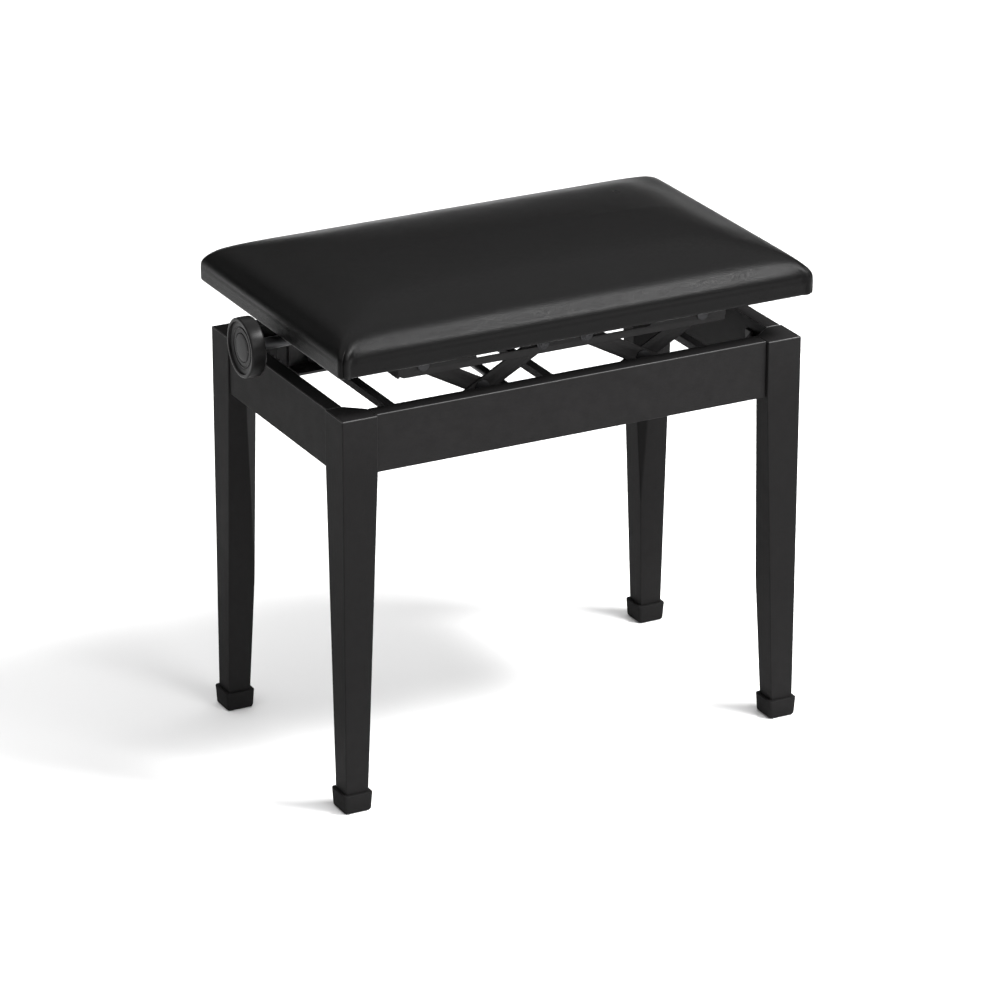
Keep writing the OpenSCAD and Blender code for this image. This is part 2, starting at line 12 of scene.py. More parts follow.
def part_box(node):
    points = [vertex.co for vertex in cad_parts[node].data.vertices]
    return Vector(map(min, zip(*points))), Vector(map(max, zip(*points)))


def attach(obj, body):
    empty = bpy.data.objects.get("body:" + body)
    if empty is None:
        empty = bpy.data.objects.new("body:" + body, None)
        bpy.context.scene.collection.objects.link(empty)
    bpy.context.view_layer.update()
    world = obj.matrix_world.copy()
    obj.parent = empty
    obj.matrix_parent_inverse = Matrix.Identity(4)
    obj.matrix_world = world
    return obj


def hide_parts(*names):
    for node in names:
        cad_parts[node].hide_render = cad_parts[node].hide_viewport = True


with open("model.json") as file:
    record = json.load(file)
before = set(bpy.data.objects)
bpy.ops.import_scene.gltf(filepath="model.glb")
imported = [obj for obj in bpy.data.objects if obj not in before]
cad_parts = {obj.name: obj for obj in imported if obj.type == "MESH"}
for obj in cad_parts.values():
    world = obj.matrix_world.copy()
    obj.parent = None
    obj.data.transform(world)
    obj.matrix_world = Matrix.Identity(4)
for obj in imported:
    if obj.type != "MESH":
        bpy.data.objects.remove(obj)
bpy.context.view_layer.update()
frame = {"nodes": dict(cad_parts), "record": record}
bodies = frame["record"]["behaviour"]["bodies"]
bodyOfNode = {node: body for body, nodes in bodies.items() for node in nodes}
slotOfNode = {row["node"]: row["material_slot"] for row in frame["record"]["subparts"]}
print("bench loaded:", len(bodyOfNode), "CAD nodes")


def newGroup(name, inputs, outputs):
    group = bpy.data.node_groups.new(name, "ShaderNodeTree")
    for label, kind, value in inputs:
        socket = group.interface.new_socket(label, in_out="INPUT", socket_type="NodeSocket" + kind)
        if value is not None:
            socket.default_value = value
    for label, kind in outputs:
        group.interface.new_socket(label, in_out="OUTPUT", socket_type="NodeSocket" + kind)
    return group, group.nodes.new("NodeGroupInput"), group.nodes.new("NodeGroupOutput")


def addNode(tree, kind, values=None, **settings):
    node = tree.nodes.new(kind)
    for key, value in settings.items():
        setattr(node, key, value)
    for key, value in (values or {}).items():
        if isinstance(value, bpy.types.NodeSocket):
            tree.links.new(value, node.inputs[key])
        else:
            node.inputs[key].default_value = value
    return node


def mathNode(tree, operation, first, second=0.0, clamp=False):
    node = addNode(tree, "ShaderNodeMath", {0: first, 1: second}, operation=operation, use_clamp=clamp)
    return node.outputs[0]


def buildSurfaceGroup():
    # slow change in tone and in roughness, as handled paint, plastic and vinyl all show
    group, given, made = newGroup("handledSurface", [
        ("Position", "Vector", None), ("Patch Size", "Float", 0.05), ("Tone Change", "Float", 0.1),
        ("Roughness", "Float", 0.4), ("Roughness Change", "Float", 0.06),
        ("Colour", "Color", (0.02, 0.02, 0.02, 1)),
    ], [("Colour", "Color"), ("Roughness", "Float")])
    scale = mathNode(group, "DIVIDE", 1.0, given.outputs["Patch Size"])
    patches = addNode(group, "ShaderNodeTexNoise", {
        "Vector": given.outputs["Position"], "Scale": scale, "Detail": 4.0, "Roughness": 0.55})
    smears = addNode(group, "ShaderNodeTexNoise", {
        "Vector": given.outputs["Position"], "Detail": 3.0,
        "Scale": mathNode(group, "MULTIPLY", scale, 3.7)})
    swing = mathNode(group, "MULTIPLY", mathNode(group, "SUBTRACT", patches.outputs["Fac"], 0.5), 2.0)
    tone = mathNode(group, "ADD", 1.0, mathNode(group, "MULTIPLY", swing, given.outputs["Tone Change"]))
    colour = addNode(group, "ShaderNodeVectorMath", {
        0: given.outputs["Colour"], 3: tone}, operation="SCALE")
    smear = mathNode(group, "MULTIPLY", mathNode(group, "SUBTRACT", smears.outputs["Fac"], 0.5), 2.0)
    rough = mathNode(group, "ADD", given.outputs["Roughness"],
                     mathNode(group, "MULTIPLY", smear, given.outputs["Roughness Change"]))
    group.links.new(colour.outputs[0], made.inputs["Colour"])
    group.links.new(rough, made.inputs["Roughness"])
    return group


def buildEdgeWearAndHighlightGroup():
    # a mask that is 1 on outer edges, where the colour is lightened partly as rubbed wear and partly as a
    # painted highlight
    group, given, made = newGroup("rubbedEdgeAndPaintedHighlight", [
        ("Position", "Vector", None), ("Start", "Float", 0.52), ("Reach", "Float", 0.08),
        ("Amount", "Float", 1.0),
    ], [("Mask", "Float")])
    sharp = addNode(group, "ShaderNodeNewGeometry").outputs["Pointiness"]
    ramp = mathNode(group, "DIVIDE", mathNode(group, "SUBTRACT", sharp, given.outputs["Start"]),
                    given.outputs["Reach"], clamp=True)
    broken = addNode(group, "ShaderNodeTexNoise", {
        "Vector": given.outputs["Position"], "Scale": 90.0, "Detail": 5.0})
    kept = mathNode(group, "ADD", broken.outputs["Fac"], 0.35, clamp=True)
    patchy = mathNode(group, "MULTIPLY", ramp, kept)
    mask = mathNode(group, "MULTIPLY", patchy, given.outputs["Amount"], clamp=True)
    group.links.new(mask, made.inputs["Mask"])
    return group


def buildOrangePeelGroup():
    # height of sprayed lacquer, powder coat or moulded grain
    group, given, made = newGroup("sprayTexture", [
        ("Position", "Vector", None), ("Bead Size", "Float", 0.001), ("Fine Share", "Float", 0.3),
    ], [("Height", "Float")])
    scale = mathNode(group, "DIVIDE", 1.0, given.outputs["Bead Size"])
    beads = addNode(group, "ShaderNodeTexNoise", {
        "Vector": given.outputs["Position"], "Scale": scale, "Detail": 1.0, "Roughness": 0.4})
    fine = addNode(group, "ShaderNodeTexNoise", {
        "Vector": given.outputs["Position"], "Detail": 2.0,
        "Scale": mathNode(group, "MULTIPLY", scale, 4.3)})
    height = mathNode(group, "ADD", beads.outputs["Fac"],
                      mathNode(group, "MULTIPLY", fine.outputs["Fac"], given.outputs["Fine Share"]))
    group.links.new(height, made.inputs["Height"])
    return group


def buildWoodGrainGroup():
    # streaks along one axis: the Stretch vector squeezes the position across the grain
    group, given, made = newGroup("woodStreaks", [
        ("Position", "Vector", None), ("Stretch", "Vector", (30.0, 30.0, 2.0)), ("Ring Size", "Float", 6.0),
    ], [("Streak", "Float"), ("Pore", "Float")])
    squeezed = addNode(group, "ShaderNodeVectorMath", {
        0: given.outputs["Position"], 1: given.outputs["Stretch"]}, operation="MULTIPLY").outputs[0]
    bend = addNode(group, "ShaderNodeTexNoise", {"Vector": squeezed, "Scale": 1.6, "Detail": 3.0})
    rings = addNode(group, "ShaderNodeTexWave", {
        "Vector": squeezed, "Scale": given.outputs["Ring Size"], "Distortion": 2.2, "Detail": 3.0,
        "Detail Scale": 1.3}, bands_direction="DIAGONAL")
    streak = mathNode(group, "MULTIPLY", rings.outputs["Fac"], bend.outputs["Fac"])
    pores = addNode(group, "ShaderNodeTexNoise", {
        "Vector": squeezed, "Scale": 55.0, "Detail": 2.0, "Roughness": 0.7})
    pore = mathNode(group, "SUBTRACT", pores.outputs["Fac"], 0.58, clamp=True)
    group.links.new(streak, made.inputs["Streak"])
    group.links.new(mathNode(group, "MULTIPLY", pore, 5.0, clamp=True), made.inputs["Pore"])
    return group


surfaceGroup = buildSurfaceGroup()
edgeWearAndHighlightGroup = buildEdgeWearAndHighlightGroup()
sprayGroup = buildOrangePeelGroup()
grainGroup = buildWoodGrainGroup()


def startFinish(name):
    finish = bpy.data.materials.new(name)
    finish.use_nodes = True
    tree = finish.node_tree
    place = tree.nodes.new("ShaderNodeTexCoord").outputs["Object"]
    return finish, tree, tree.nodes["Principled BSDF"], place


def placeGroup(tree, group, values):
    return addNode(tree, "ShaderNodeGroup", values, node_tree=group).outputs


def bumpOn(tree, shader, height, distance, strength=1.0, before=None):
    values = {"Height": height, "Distance": distance, "Strength": strength}
    if before is not None:
        values["Normal"] = before
    bump = addNode(tree, "ShaderNodeBump", values)
    tree.links.new(bump.outputs[0], shader.inputs["Normal"])
    return bump.outputs[0]


def mixColour(tree, factor, first, second):
    return addNode(tree, "ShaderNodeMix", {0: factor, 6: first, 7: second}, data_type="RGBA").outputs[2]


def handled(tree, place, look):
    return placeGroup(tree, surfaceGroup, {
        "Position": place, "Patch Size": look["patch"], "Tone Change": look["tone"],
        "Roughness": look["rough"], "Roughness Change": look["roughSwing"], "Colour": look["colour"]})


def paintOn(tree, shader, colour, roughness, specular=None):
    tree.links.new(colour, shader.inputs["Base Color"])
    tree.links.new(roughness, shader.inputs["Roughness"])
    if specular is not None:
        shader.inputs["Specular IOR Level"].default_value = specular


def grey(value):
    # black paint is never quite neutral
    return (value * 1.03, value, value * 1.01, 1)


def sprayedFinish(name, look):
    # paint, powder coat, rubber or moulded plastic: one colour, fine texture and outer edges lightened partly
    # as rubbed wear and partly as a painted highlight
    finish, tree, shader, place = startFinish(name)
    worn = handled(tree, place, look)
    edgeWearAndHighlight = placeGroup(tree, edgeWearAndHighlightGroup, {"Position": place, "Amount": look["edge"]})
    colour = mixColour(tree, edgeWearAndHighlight["Mask"], worn["Colour"], look["edgeWearAndHighlightColour"])
    paintOn(tree, shader, colour, worn["Roughness"], look["specular"])
    texture = placeGroup(tree, sprayGroup, {"Position": place, "Bead Size": look["bead"]})
    bumpOn(tree, shader, texture["Height"], look["bumpDepth"])
    return finish


# the edge colour is a lighter tone for outer edges: partly wear, partly a painted highlight on the bevels
lacquerLook = {
    "patch": 0.09, "tone": 0.07, "rough": 0.5, "roughSwing": 0.05, "colour": grey(0.009), "edge": 0.35,
    "edgeWearAndHighlightColour": grey(0.045), "specular": 0.025, "bead": 0.0016, "bumpDepth": 0.00003,
    "poreDepth": 0.00005, "streakDepth": 0.00004,
}


def lacqueredWood(name, stretch, changes=None):
    # black lacquer thin enough to follow the wood's pores
    finish, tree, shader, place = startFinish(name)
    look = {**lacquerLook, **(changes or {})}
    worn = handled(tree, place, look)
    edgeWearAndHighlight = placeGroup(tree, edgeWearAndHighlightGroup, {"Position": place, "Amount": look["edge"]})
    wood = placeGroup(tree, grainGroup, {"Position": place, "Stretch": stretch})
    darkened = mixColour(tree, mathNode(tree, "MULTIPLY", wood["Pore"], 0.3), worn["Colour"], grey(0.004))
    # outer edges lightened: partly rubbed wear, partly a painted highlight along the bevels
    colour = mixColour(tree, edgeWearAndHighlight["Mask"], darkened, look["edgeWearAndHighlightColour"])
    paintOn(tree, shader, colour, worn["Roughness"], look["specular"])
    spray = placeGroup(tree, sprayGroup, {"Position": place, "Bead Size": look["bead"]})
    sprayed = bumpOn(tree, shader, spray["Height"], look["bumpDepth"])
    streaked = bumpOn(tree, shader, wood["Streak"], look["streakDepth"], 1.0, sprayed)
    bumpOn(tree, shader, mathNode(tree, "SUBTRACT", 1.0, wood["Pore"]), look["poreDepth"], 1.0, streaked)
    return finish


woodLook = {"patch": 0.06, "tone": 0.12, "rough": 0.72, "roughSwing": 0.08, "grainDepth": 0.0001}


def bareWood(name, light, dark, stretch, layers=0.0):
    # unpainted timber; layers is the veneer thickness of plywood, 0 for solid wood
    finish, tree, shader, place = startFinish(name)
    wood = placeGroup(tree, grainGroup, {"Position": place, "Stretch": stretch})
    colour = mixColour(tree, wood["Streak"], light, dark)
    colour = mixColour(tree, mathNode(tree, "MULTIPLY", wood["Pore"], 0.5), colour, dark)
    if layers:
        height = addNode(tree, "ShaderNodeSeparateXYZ", {0: place}).outputs["Z"]
        ply = mathNode(tree, "PINGPONG", height, layers)
        colour = mixColour(tree, mathNode(tree, "GREATER_THAN", ply, layers / 2), colour, dark)
    worn = handled(tree, place, {**woodLook, "colour": colour})
    paintOn(tree, shader, worn["Colour"], worn["Roughness"])
    bumpOn(tree, shader, wood["Streak"], woodLook["grainDepth"])
    return finish


metalLook = {
    "patch": 0.012, "tone": 0.18, "roughSwing": 0.1, "edge": 0.5, "edgeWearAndHighlightColour": (0.16, 0.16, 0.165, 1),
    "lineDepth": 0.00003,
}


def platedMetal(name, colour, rough, brushed):
    # brushed squeezes the position across the fine lines that turning or drawing leaves
    finish, tree, shader, place = startFinish(name)
    worn = handled(tree, place, {**metalLook, "colour": colour, "rough": rough})
    edgeWearAndHighlight = placeGroup(tree, edgeWearAndHighlightGroup, {"Position": place, "Amount": metalLook["edge"]})
    # edges lightened: partly rubbed wear, partly a painted highlight
    bright = mixColour(tree, edgeWearAndHighlight["Mask"], worn["Colour"], metalLook["edgeWearAndHighlightColour"])
    paintOn(tree, shader, bright, worn["Roughness"])
    shader.inputs["Metallic"].default_value = 1.0
    stretched = addNode(tree, "ShaderNodeVectorMath", {0: place, 1: brushed}, operation="MULTIPLY")
    lines = addNode(tree, "ShaderNodeTexNoise", {
        "Vector": stretched.outputs[0], "Scale": 1.0, "Detail": 3.0})
    bumpOn(tree, shader, lines.outputs["Fac"], metalLook["lineDepth"])
    return finish


vinylLook = {
    "colour": grey(0.0034), "patch": 0.16, "tone": 0.05, "rough": 0.29, "roughSwing": 0.03,
    "specular": 0.065, "cell": 0.0011, "cellDepth": 0.00006, "fineSize": 0.0004, "fineDepth": 0.00002,
    "creaseSize": 0.03, "creaseDepth": 0.0002, "grooveColour": grey(0.006),
}


def vinylFinish():
    # embossed vinyl: small rounded cells, a finer grain in them and long soft creases
    finish, tree, shader, place = startFinish("blackVinyl")
    look = vinylLook
    worn = handled(tree, place, look)
    cells = addNode(tree, "ShaderNodeTexVoronoi", {"Vector": place, "Scale": 1 / look["cell"]},
                    feature="DISTANCE_TO_EDGE")
    groove = mathNode(tree, "MULTIPLY", cells.outputs["Distance"], 4.0, clamp=True)
    darker = mixColour(tree, mathNode(tree, "MULTIPLY", mathNode(tree, "SUBTRACT", 1.0, groove), 0.35),
                       worn["Colour"], look["grooveColour"])
    paintOn(tree, shader, darker, worn["Roughness"], look["specular"])
    creases = addNode(tree, "ShaderNodeTexNoise", {
        "Vector": place, "Scale": 1 / look["creaseSize"], "Detail": 2.0, "Distortion": 0.6})
    slow = bumpOn(tree, shader, creases.outputs["Fac"], look["creaseDepth"])
    embossed = bumpOn(tree, shader, groove, look["cellDepth"], 1.0, slow)
    spray = placeGroup(tree, sprayGroup, {"Position": place, "Bead Size": look["fineSize"]})
    bumpOn(tree, shader, spray["Height"], look["fineDepth"], 1.0, embossed)
    return finish


clothLook = {
    "dark": (0.008, 0.008, 0.009, 1), "light": (0.026, 0.026, 0.028, 1), "bond": (0.006, 0.006, 0.006, 1),
    "rough": 0.92, "fibres": 900.0, "bonds": 420.0, "fibreDepth": 0.0002, "bondDepth": 0.0001,
}


def nonWovenCloth():
    # thin black backing cloth: pressed fibres with a grid of spot bonds
    finish, tree, shader, place = startFinish("dustCloth")
    look = clothLook
    fibres = addNode(tree, "ShaderNodeTexNoise", {
        "Vector": place, "Scale": look["fibres"], "Detail": 4.0, "Distortion": 1.5})
    bonds = addNode(tree, "ShaderNodeTexVoronoi", {
        "Vector": place, "Scale": look["bonds"], "Randomness": 0.1})
    between = mathNode(tree, "MULTIPLY", bonds.outputs["Distance"], 2.6, clamp=True)
    spot = mathNode(tree, "SUBTRACT", 1.0, between)
    colour = mixColour(tree, fibres.outputs["Fac"], look["dark"], look["light"])
    colour = mixColour(tree, mathNode(tree, "MULTIPLY", spot, 0.5), colour, look["bond"])
    tree.links.new(colour, shader.inputs["Base Color"])
    shader.inputs["Roughness"].default_value = look["rough"]
    soft = bumpOn(tree, shader, fibres.outputs["Fac"], look["fibreDepth"])
    bumpOn(tree, shader, mathNode(tree, "SUBTRACT", 1.0, spot), look["bondDepth"], 1.0, soft)
    return finish


powderLook = {
    "patch": 0.05, "tone": 0.1, "rough": 0.5, "roughSwing": 0.07, "colour": grey(0.017), "edge": 0.5,
    "edgeWearAndHighlightColour": grey(0.05), "specular": 0.08, "bead": 0.0009, "bumpDepth": 0.00008,
}
rubberLook = {
    "patch": 0.02, "tone": 0.15, "rough": 0.66, "roughSwing": 0.08, "colour": grey(0.008), "edge": 0.5,
    "edgeWearAndHighlightColour": grey(0.02), "specular": 0.05, "bead": 0.0007, "bumpDepth": 0.00006,
}
# the knob's lighter edge colour paints highlights on its rim edges, beside rubbed wear
knobLook = {
    "patch": 0.02, "tone": 0.06, "rough": 0.32, "roughSwing": 0.05, "colour": grey(0.006), "edge": 0.6,
    "edgeWearAndHighlightColour": grey(0.07), "specular": 0.08, "bead": 0.0005, "bumpDepth": 0.00002,
}
foamLook = {
    "patch": 0.02, "tone": 0.1, "rough": 0.9, "roughSwing": 0.05, "colour": (0.7, 0.64, 0.42, 1),
    "edge": 0.0, "edgeWearAndHighlightColour": (0.7, 0.64, 0.42, 1), "specular": 0.2, "bead": 0.0012, "bumpDepth": 0.0004,
}

uprightWood = lacqueredWood("lacquerUpright", (30.0, 30.0, 2.0))
lengthwiseWood = lacqueredWood("lacquerAlongX", (2.0, 30.0, 30.0))
crosswiseWood = lacqueredWood("lacquerAlongY", (30.0, 2.0, 30.0))
polishedEdge = lacqueredWood("lacquerEdge", (30.0, 30.0, 30.0), {
    "rough": 0.38, "specular": 0.3, "bumpDepth": 0.00001})
powderCoat = sprayedFinish("blackPowderCoat", powderLook)
footRubber = sprayedFinish("footRubber", rubberLook)
knobPlastic = sprayedFinish("knobPlastic", knobLook)
blackVinyl = vinylFinish()
dustCloth = nonWovenCloth()
darkZinc = platedMetal("darkZinc", (0.020, 0.020, 0.021, 1), 0.48, (200.0, 900.0, 900.0))
screwSteel = platedMetal("screwSteel", (0.03, 0.03, 0.031, 1), 0.45, (1500.0, 120.0, 120.0))
bronze = platedMetal("sinteredBronze", (0.30, 0.19, 0.08, 1), 0.5, (600.0, 600.0, 600.0))
beech = bareWood("beechDowel", (0.52, 0.36, 0.21, 1), (0.38, 0.24, 0.13, 1), (40.0, 40.0, 40.0))
plywood = bareWood("plywood", (0.50, 0.36, 0.20, 1), (0.34, 0.22, 0.12, 1), (3.0, 25.0, 25.0), 0.003)
foamFill = sprayedFinish("foamFill", foamLook)

finishOfSlot = {
    "black_wood": uprightWood, "rubber_feet": footRubber, "dowel_wood": beech, "plywood": plywood,
    "seat_foam": foamFill, "black_vinyl": blackVinyl, "dust_cloth": dustCloth, "knob_plastic": knobPlastic,
    "bush_metal": bronze, "plated_steel": darkZinc, "black_steel": powderCoat,
}
for nodeName, nodeObject in frame["nodes"].items():
    nodeObject.data.materials.clear()
    nodeObject.data.materials.append(finishOfSlot[slotOfNode[nodeName]])
print("finishes made:", len(bpy.data.materials))


def settle(piece):
    # bakes the modifiers into a plain mesh
    seen = piece.evaluated_get(bpy.context.evaluated_depsgraph_get())
    mesh = bpy.data.meshes.new_from_object(seen)
    piece.modifiers.clear()
    old = piece.data
    piece.data = mesh
    bpy.data.meshes.remove(old)
    return piece


def makeObject(name, mesh, finish):
    piece = bpy.data.objects.new(name, mesh)
    bpy.context.scene.collection.objects.link(piece)
    if finish is not None:
        mesh.materials.clear()
        mesh.materials.append(finish)
    return piece


def register(piece, nodes):
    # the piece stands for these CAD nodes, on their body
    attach(piece, bodyOfNode[nodes[0]])
    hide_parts(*nodes)
    return piece


def meshFrom(name, points, faces):
    mesh = bpy.data.meshes.new(name)
    mesh.from_pydata([tuple(p) for p in points], [], faces)
    mesh.update()
    return mesh


def cleanMesh(mesh, merge=1e-6):
    shape = bmesh.new()
    shape.from_mesh(mesh)
    bmesh.ops.remove_doubles(shape, verts=shape.verts, dist=merge)
    bmesh.ops.dissolve_degenerate(shape, edges=shape.edges, dist=merge / 2)
    bmesh.ops.recalc_face_normals(shape, faces=shape.faces)
    shape.to_mesh(mesh)
    shape.free()
    return mesh


def smoothFaces(mesh, sharpAngle=None):
    for polygon in mesh.polygons:
        polygon.use_smooth = True
    if sharpAngle is not None:
        mesh.set_sharp_from_angle(angle=math.radians(sharpAngle))


def roundEdges(piece, width, steps=2, angle=35.0, edgeFinish=None):
    smoothFaces(piece.data)
    bevel = piece.modifiers.new("rounding", "BEVEL")
    bevel.width = width
    bevel.segments = steps
    bevel.limit_method = "ANGLE"
    bevel.angle_limit = math.radians(angle)
    bevel.harden_normals = True
    bevel.use_clamp_overlap = True
    if edgeFinish is not None:
        piece.data.materials.append(edgeFinish)
        bevel.material = 1
    settle(piece)
    if edgeFinish is not None:
        # only the upper edges are polished by handling
        top = max(vertex.co.z for vertex in piece.data.vertices)
        for polygon in piece.data.polygons:
            if polygon.center.z < top - 3 * width:
                polygon.material_index = 0
    return piece


def softened(node, name, width, steps=2):
    # a copy of a CAD node with its flat faces joined up and its edges broken
    mesh = frame["nodes"][node].data.copy()
    shape = bmesh.new()
    shape.from_mesh(mesh)
    bmesh.ops.remove_doubles(shape, verts=shape.verts, dist=1e-6)
    bmesh.ops.dissolve_limit(shape, angle_limit=math.radians(0.5), verts=shape.verts, edges=shape.edges)
    shape.to_mesh(mesh)
    shape.free()
    piece = makeObject(name, mesh, finishOfSlot[slotOfNode[node]])
    return register(roundEdges(piece, width, steps), [node])


def camel(node):
    words = node.split("_")
    return words[0] + "".join(word.capitalize() for word in words[1:])


def tubeFaces(ringCount, count):
    # quads between closed rings of count points that follow one another
    faces = []
    for j in range(ringCount - 1):
        for i in range(count):
            k = (i + 1) % count
            faces.append((j * count + i, j * count + k, (j + 1) * count + k, (j + 1) * count + i))
    return faces


def lathe(outline, sides):
    # turns [radius, height] points round Z; ends on the axis are closed to one point
    points = []
    for radius, height in outline:
        for i in range(sides):
            a = math.tau * i / sides
            points.append((radius * math.cos(a), radius * math.sin(a), height))
    return cleanMesh(meshFrom("lathe", points, tubeFaces(len(outline), sides)))


def arc(cx, cy, r, start, end, steps):
    turns = [math.radians(start + (end - start) * i / steps) for i in range(steps + 1)]
    return [(cx + r * math.cos(t), cy + r * math.sin(t)) for t in turns]


studio = {
    "eye": (-2.258, -4.269, 2.228), "yaw": 27.81, "pitch": 22.38, "roll": 0.12, "lens": 179.7,
    "floorSize": 40.0, "floorTone": 0.92, "skySeen": 0.97, "skyLight": 0.1,
    "overheadStrength": 2.6, "overheadSpread": 110,
}
# each softbox has its place, what it aims at, its size and its watts
softboxes = {
    "keyBox": ((1.35, -1.15, 2.75), (0, 0, 0.4), (1.2, 0.6), 165),
    "frontBox": ((1.2, -5.2, 2.9), (0, 0, 0.3), (3.0, 2.0), 170),
}


def addCamera():
    yaw, pitch, roll = (math.radians(studio[key]) for key in ("yaw", "pitch", "roll"))
    ahead = Vector((math.sin(yaw) * math.cos(pitch), math.cos(yaw) * math.cos(pitch), -math.sin(pitch)))
    side = Vector((math.cos(yaw), -math.sin(yaw), 0))
    up = side.cross(ahead)
    side, up = side * math.cos(roll) + up * math.sin(roll), up * math.cos(roll) - side * math.sin(roll)
    camera = bpy.data.objects.new("camera", bpy.data.cameras.new("camera"))
    bpy.context.scene.collection.objects.link(camera)
    camera.data.lens = studio["lens"]
    camera.data.clip_end = 100
    turn = Matrix((side, up, -ahead)).transposed()
    camera.matrix_world = Matrix.Translation(studio["eye"]) @ turn.to_4x4()
    bpy.context.scene.camera = camera


floorLook = {
    "patch": 0.8, "tone": 0.004, "rough": 0.9, "roughSwing": 0.02, "specular": 0.1,
    "colour": (studio["floorTone"], studio["floorTone"], studio["floorTone"], 1),
}


def addFloor():
    half = studio["floorSize"] / 2
    corners = [(-half, -half, 0), (half, -half, 0), (half, half, 0), (-half, half, 0)]
    mesh = meshFrom("floor", corners, [(0, 1, 2, 3)])
    finish, tree, shader, place = startFinish("paleFloor")
    worn = handled(tree, place, floorLook)
    paintOn(tree, shader, worn["Colour"], worn["Roughness"], floorLook["specular"])
    makeObject("floor", mesh, finish)


def addSoftbox(name, place, aim, size, watts):
    light = bpy.data.lights.new(name, "AREA")
    light.shape = "RECTANGLE"
    light.size, light.size_y = size
    light.energy = watts
    box = bpy.data.objects.new(name, light)
    bpy.context.scene.collection.objects.link(box)
    box.location = place
    box.rotation_euler = (Vector(aim) - Vector(place)).to_track_quat("-Z", "Y").to_euler()
    box.visible_camera = False


def addOverhead():
    # a very wide soft sun straight above lights the floor evenly however far it runs
    light = bpy.data.lights.new("overhead", "SUN")
    light.energy = studio["overheadStrength"]
    light.angle = math.radians(studio["overheadSpread"])
    bpy.context.scene.collection.objects.link(bpy.data.objects.new("overhead", light))


def addSky():
    world = bpy.data.worlds.new("studioSky")
    world.use_nodes = True
    tree = world.node_tree
    tree.nodes.clear()
    lit = addNode(tree, "ShaderNodeBackground", {"Color": (1, 1, 1, 1), "Strength": studio["skyLight"]})
    seen = addNode(tree, "ShaderNodeBackground", {"Color": (1, 1, 1, 1), "Strength": studio["skySeen"]})
    mix = addNode(tree, "ShaderNodeMixShader")
    tree.links.new(addNode(tree, "ShaderNodeLightPath").outputs["Is Camera Ray"], mix.inputs[0])
    tree.links.new(lit.outputs[0], mix.inputs[1])
    tree.links.new(seen.outputs[0], mix.inputs[2])
    tree.links.new(mix.outputs[0], addNode(tree, "ShaderNodeOutputWorld").inputs[0])
    bpy.context.scene.world = world
    bpy.context.scene.view_settings.view_transform = "Standard"


addCamera()
addFloor()
addSky()
addOverhead()
for boxName, values in softboxes.items():
    addSoftbox(boxName, *values)
print("studio ready")


legShape = {"footSide": 0.0245, "edge": 0.0012, "steps": 3, "sharpest": 25.0}
apronShape = {"edge": 0.0011, "seam": 0.0003, "steps": 3, "sharpest": 35.0}


def roundWood(piece, shape):
    return roundEdges(piece, shape["edge"], shape["steps"], shape["sharpest"], polishedEdge)


def legOutline(width, depth, full):
    # plan of a leg cut off across its inner corner; both cut points meet where the taper has passed the cut
    cutY = full["alongY"] + (full["width"] - width) * full["slope"]
    cutX = full["alongX"] + (full["depth"] - depth) / full["slope"]
    if cutY >= depth:
        cutX, cutY = width, depth
    return [(0, 0), (width, 0), (width, cutY), (cutX, depth), (0, depth)]


def makeLeg(node, signX, signY):
    low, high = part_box(node)
    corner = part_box("leg_front_left")[0]
    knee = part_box("front_apron")[0].z
    foot = legShape["footSide"]
    # the cut runs from the inner face of the side apron to the inner face of the long one
    full = {"width": high.x - low.x, "depth": high.y - low.y,
            "alongX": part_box("left_apron")[1].x - corner.x, "alongY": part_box("front_apron")[1].y - corner.y}
    full["slope"] = (full["depth"] - full["alongY"]) / (full["width"] - full["alongX"])
    # height at which the tapering corner first touches the cut
    gapTop = full["depth"] - full["alongY"]
    gapFoot = full["alongY"] + (full["width"] - foot) * full["slope"] - foot
    meet = low.z + (knee - low.z) * gapFoot / (gapFoot + gapTop)
    outerX = high.x if signX > 0 else low.x
    outerY = high.y if signY > 0 else low.y
    points, heights = [], (low.z, meet, knee, high.z)
    for z in heights:
        share = min(1.0, (z - low.z) / (knee - low.z))
        width = foot + (full["width"] - foot) * share
        depth = foot + (full["depth"] - foot) * share
        points += [(outerX - signX * x, outerY - signY * y, z) for x, y in legOutline(width, depth, full)]
    faces = [tuple(range(5)), tuple(range(len(points) - 5, len(points)))] + tubeFaces(len(heights), 5)
    piece = makeObject(camel(node), cleanMesh(meshFrom(node, points, faces), 1e-5), uprightWood)
    return register(roundWood(piece, legShape), [node])


def boxMesh(low, high):
    points = [(x, y, z) for x in (low[0], high[0]) for y in (low[1], high[1]) for z in (low[2], high[2])]
    faces = [(0, 1, 3, 2), (4, 6, 7, 5), (0, 4, 5, 1), (2, 3, 7, 6), (0, 2, 6, 4), (1, 5, 7, 3)]
    return cleanMesh(meshFrom("box", points, faces))


def makeApron(node, axis, finish):
    low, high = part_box(node)
    low[axis] += apronShape["seam"]
    high[axis] -= apronShape["seam"]
    piece = makeObject(camel(node), boxMesh(low, high), finish)
    return register(roundWood(piece, apronShape), [node])


for signX, side in ((-1, "left"), (1, "right")):
    for signY, face in ((-1, "front"), (1, "rear")):
        makeLeg(f"leg_{face}_{side}", signX, signY)
for node in ("front_apron", "rear_apron"):
    makeApron(node, 0, lengthwiseWood)
for node in ("left_apron", "right_apron"):
    makeApron(node, 1, crosswiseWood)
print("frame made")


footShape = {
    "cornerR": 0.0038, "toeR": 0.0030, "draft": 0.0010, "spread": 0.0010, "wall": 0.0026, "rimR": 0.0007,
    "lip": 0.0004, "floor": 0.004, "cornerSteps": 6,
}


def roundedSquare(half, r, steps):
    points = []
    for cx, cy, start in ((1, 1, 0), (-1, 1, 90), (-1, -1, 180), (1, -1, 270)):
        points += arc(cx * (half - r), cy * (half - r), r, start, start + 90, steps)
    return points


